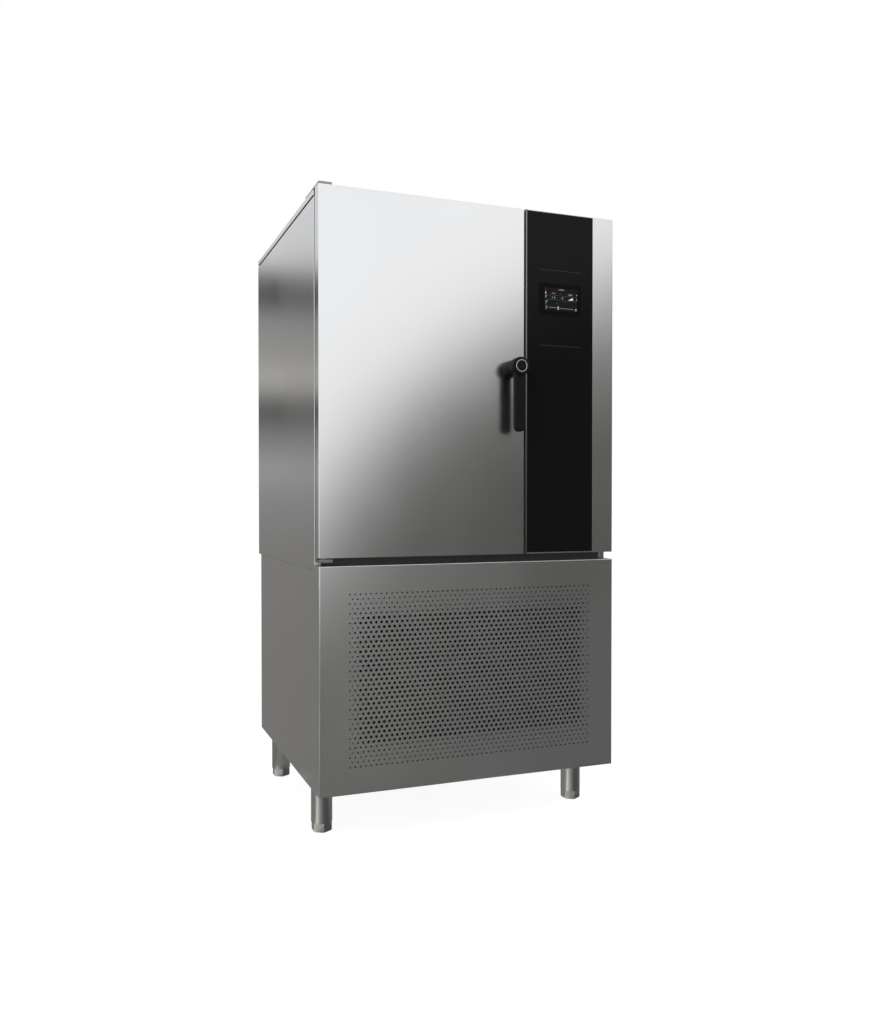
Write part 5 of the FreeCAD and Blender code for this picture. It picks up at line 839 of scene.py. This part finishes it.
printed("screen_rules", dim_grey, ((226.6, 271.0), (1534.7, 1535.7), MARK),
        ((275.0, 326.2), (1533.9, 1534.9), MARK), ((222.5, 271.0), (1521.9, 1522.9), MARK),
        ((275.0, 327.2), (1520.6, 1521.6), MARK), ((271.0, 273.6), (1539.0, 1542.0), MARK),
        ((292.4, 293.4), (1538.0, 1542.5), MARK), ((221.9, 225.0), (1552.0, 1555.0), MARK, 1.4))
printed("screen_drop", lit_pale, ((222.3, 225.9), (1537.6, 1543.0), MARK, 1.7),
        ((223.3, 224.9), (1541.0, 1546.0), MARK, 0.7))
printed("screen_flag", lit_grey, ((222.6, 227.4), (1529.6, 1533.4), MARK),
        ((222.6, 223.6), (1525.8, 1533.4), OVER))
printed("screen_arc_top", lit_pale, ((224.0, 229.2), (1515.2, 1517.6), MARK, 1.1))
printed("screen_arc_side", lit_teal, ((222.6, 225.0), (1509.0, 1516.0), MARK, 1.1),
        ((223.0, 228.0), (1507.6, 1509.4), OVER, 0.8))
printed("screen_box", lit_grey, ((223.2, 228.4), (1502.2, 1503.4), MARK),
        ((223.2, 228.4), (1495.4, 1496.6), MARK), ((227.2, 228.4), (1495.4, 1503.4), OVER),
        ((224.2, 226.2), (1498.4, 1500.4), MARK))
printed("screen_slider", ink("screen_slider_grey", "#7C7C70", 0.28),
        ((234.0, 263.0), (1498.8, 1500.4), MARK), ((266.6, 315.3), (1497.9, 1499.3), MARK))
printed("screen_slider_knob", lit_pale, ((263.4, 266.3), (1493.6, 1504.6), OVER, 1.0))
printed("screen_slider_end", lit_pale, ((321.6, 325.6), (1494.6, 1500.4), MARK, 1.4))
printed("screen_side_marks", lit_grey, ((324.2, 327.4), (1538.8, 1542.0), MARK, 1.0),
        ((325.0, 326.6), (1524.4, 1530.6), MARK))
printed("screen_core_mark", lit_green, ((277.4, 281.4), (1525.0, 1531.6), MARK, 1.9),
        ((270.6, 274.0), (1527.8, 1528.8), MARK))
printed("screen_fan_mark", ink("screen_dark_green", "#2C3A30", 0.20),
        ((258.6, 264.4), (1509.4, 1515.4), MARK, 2.4))


def lettering(name, finish, words, x, z, size_mm):
    """Lit figures, made a flat mesh and set upright on the glass."""
    curve = bpy.data.curves.new(name, "FONT")
    curve.body = words
    curve.size = size_mm * MM
    curve.resolution_u = 3
    text = bpy.data.objects.new(name, curve)
    scene.collection.objects.link(text)
    mesh = bpy.data.meshes.new_from_object(text.evaluated_get(
        bpy.context.evaluated_depsgraph_get()))
    bpy.data.objects.remove(text)
    mesh.transform(Matrix.Translation(Vector((x, FRONT - MARK, z)) * MM)
                   @ Matrix.Rotation(math.pi / 2, 4, "X"))
    mesh.materials.clear()
    mesh.materials.append(finish)
    piece = bpy.data.objects.new(name, mesh)
    scene.collection.objects.link(piece)
    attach(piece, "cabinet")


lettering("screen_clock", lit_pale, "12:00:00", 265.2, 1550.4, 5.4)
lettering("screen_target", lit_orange, "-18.0", 241.8, 1538.6, 6.8)
lettering("screen_minutes", lit_pale, "90:00", 298.6, 1537.6, 6.0)
lettering("screen_core", lit_pale, "+ 3", 243.6, 1525.8, 8.2)
WEDGE = ((297.5, 1524.2), (313.4, 1524.2), (313.4, 1531.2))
bm = bmesh.new()
bm.faces.new([bm.verts.new(Vector((x, FRONT - MARK, z)) * MM) for x, z in WEDGE])
to_piece("screen_wedge", bm, lit_white, "cabinet", "display")

# ---------------------------------------- door
# A folded stainless skin over a foam core, closed by an inner panel of liner sheet. The gasket
# lies on the panel's flat rim. Nylon bushes in both ends turn on the hinge pins.
# The door is ground like the sides and polished once more, so it mirrors a little clearer.
door_steel = brushed("satin_stainless_door", "#C8C8C8", "#CCCCCC", 0.19, UPRIGHT_GRAIN,
                     GRAIN_DEPTH)
finished("door_outer_skin", door_steel, SOFT_EDGE)
finished("door_insulation", foam, FINE_EDGE)
# The inner panel's rim is painted dark grey as painted shade, so the gap round the door looks
# black.
RIM, LOOKS_BACK = 2.0 * MM, 0.8
inner_panel = finished("door_inner_panel", liner_steel)
inner_panel.data.materials.append(gap_shade_finish)
low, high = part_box("door_inner_panel")
for face in inner_panel.data.polygons:
    middle = face.center
    to_rim = min(middle.x - low.x, high.x - middle.x, middle.z - low.z, high.z - middle.z)
    if abs(face.normal.y) < LOOKS_BACK and to_rim < RIM:
        face.material_index = 1
# Extruded soft PVC: dull, with a slow unevenness 3 mm long.
GASKET_ROUND = 1.2
gasket_rubber = patterned("dark_gasket_rubber", "#26262A", 0.0, 0.62, (3.0, 3.0, 3.0),
                          ("#222225", "#2C2C30"), height_mm=0.03)
finished("door_gasket", gasket_rubber, GASKET_ROUND)
finished("door_bushes", black_nylon)

# ---------------------------------------- hinges, striker and cam
# Zinc-plated steel bar, milled and bent. The top bracket is a plate screwed down on the cover, the
# bottom one a shelf on the cabinet's face. Striker and cam are cut from the same bar.
SCREW_EDGE = 0.4
# Milling lines 30 mm long run from front to back.
bracket_steel = brushed("zinc_plated_bar", "#7D7E81", "#88898C", 0.32, (1.0, 30.0, 1.0), 0.001)
for node in ("hinge_bracket_upper", "hinge_bracket_lower", "latch_striker", "latch_cam"):
    finished(node, bracket_steel, PLAIN_EDGE)
# Oil and handling leave darker spots 1.5 mm across.
screw_steel = patterned("oiled_screw_steel", "#6E6F71", 1.0, 0.36, (1.5, 1.5, 1.5),
                        ("#646567", "#77787A"), detail=1.0)
finished("hinge_screws", screw_steel, SCREW_EDGE)

# ---------------------------------------- handle
# A lever moulded in black polyamide hangs from a round head, which turns on a fixed neck of the
# same plastic. A polished ring and a cap close the head. The grip's tip is a half round.
AXIS_X, AXIS_Z = 117.1, 1315.3
# Each turned piece: where its back lies, and its (radius, height) outline from there.
NECK_BACK, HEAD_BACK, RING_BACK, TURNING_STEPS = FRONT, -439.0, -463.0, 72
NECK = ((6.4, 0.0), (22.9, 0.0), (23.4, 0.5), (21.5, 31.8), (20.9, 32.6), (6.4, 32.6))
HEAD = ((6.2, 0.0), (25.2, 0.0), (26.0, 0.8), (26.0, 23.6), (25.3, 25.7), (23.8, 26.7),
        (22.2, 27.0), (18.4, 27.0), (18.4, 22.5), (6.2, 22.5))
RING = ((13.9, 0.0), (18.2, 0.0), (18.2, 3.6), (17.9, 4.2), (17.2, 4.5), (15.2, 4.5),
        (14.4, 4.2), (13.9, 3.4))
CAP = ((0.0, 0.0), (13.6, 0.0), (13.6, 2.4), (13.0, 3.0), (8.0, 3.35), (0.0, 3.5))
GRIP_BACK, GRIP_FRONT, GRIP_HALF, GRIP_ASIDE = -444.0, -462.5, 16.3, -1.2
GRIP_TOP, GRIP_TIP, GRIP_ROUND = AXIS_Z - 8.0, AXIS_Z - 184.0, 4.2
# Moulded with a fine spark-eroded grain, drawn 0.8 mm apart.
black_polyamide = patterned("black_moulded_polyamide", "#0E0E0E", 0.0, 0.5, (0.8, 0.8, 0.8),
                            ("#0C0C0C", "#111111"), (0.46, 0.56), 0.02, Specular_IOR_Level=0.12)
# Polishing leaves faint clouds 5 mm across.
polished_ring = patterned("polished_ring", "#97989A", 1.0, 0.16, (5.0, 5.0, 5.0),
                          gloss=(0.14, 0.20))


def turned(outline, back_mm, steps=TURNING_STEPS):
    """A piece turned from its outline and stood on the door, its height towards the viewer."""
    bm = bmesh.new()
    lathe(bm, outline, steps)
    bmesh.ops.rotate(bm, verts=bm.verts, matrix=Matrix.Rotation(math.pi / 2, 3, "X"))
    bmesh.ops.translate(bm, verts=bm.verts, vec=Vector((AXIS_X, back_mm, AXIS_Z)) * MM)
    return bm


to_piece("handle_neck_moulding", turned(NECK, NECK_BACK), black_polyamide, "door", "handle_black",
         "handle_neck")

grip = bmesh.new()
bmesh.ops.create_cube(grip, size=1.0)
bmesh.ops.scale(grip, verts=grip.verts,
                vec=Vector((2 * GRIP_HALF, GRIP_BACK - GRIP_FRONT, GRIP_TOP - GRIP_TIP)) * MM)
bmesh.ops.translate(grip, verts=grip.verts, vec=Vector(
    (AXIS_X + GRIP_ASIDE, (GRIP_BACK + GRIP_FRONT) / 2, (GRIP_TOP + GRIP_TIP) / 2)) * MM)
tip_corners = [edge for edge in grip.edges
               if all(v.co.z < GRIP_TIP * MM + NEAR for v in edge.verts)
               and abs(edge.verts[0].co.x - edge.verts[1].co.x) < NEAR]
# Just short of half the width, so that the two rounds of the tip don't run into each other.
rounded(grip, tip_corners, GRIP_HALF - 0.1, 16)
rounded(grip, sharp_edges(grip, 50), GRIP_ROUND, 6)
lever = turned(HEAD, HEAD_BACK)
put_in(lever, grip)
to_piece("handle_lever_moulding", lever, black_polyamide, "handle", "handle_black",
         "handle_lever", smooth=60.0)
to_piece("handle_ring_trim", turned(RING, RING_BACK, 96), polished_ring, "handle", "chrome_trim",
         "handle_ring")
to_piece("handle_cap_moulding", turned(CAP, RING_BACK), black_polyamide, "handle",
         "handle_black", "handle_cap")
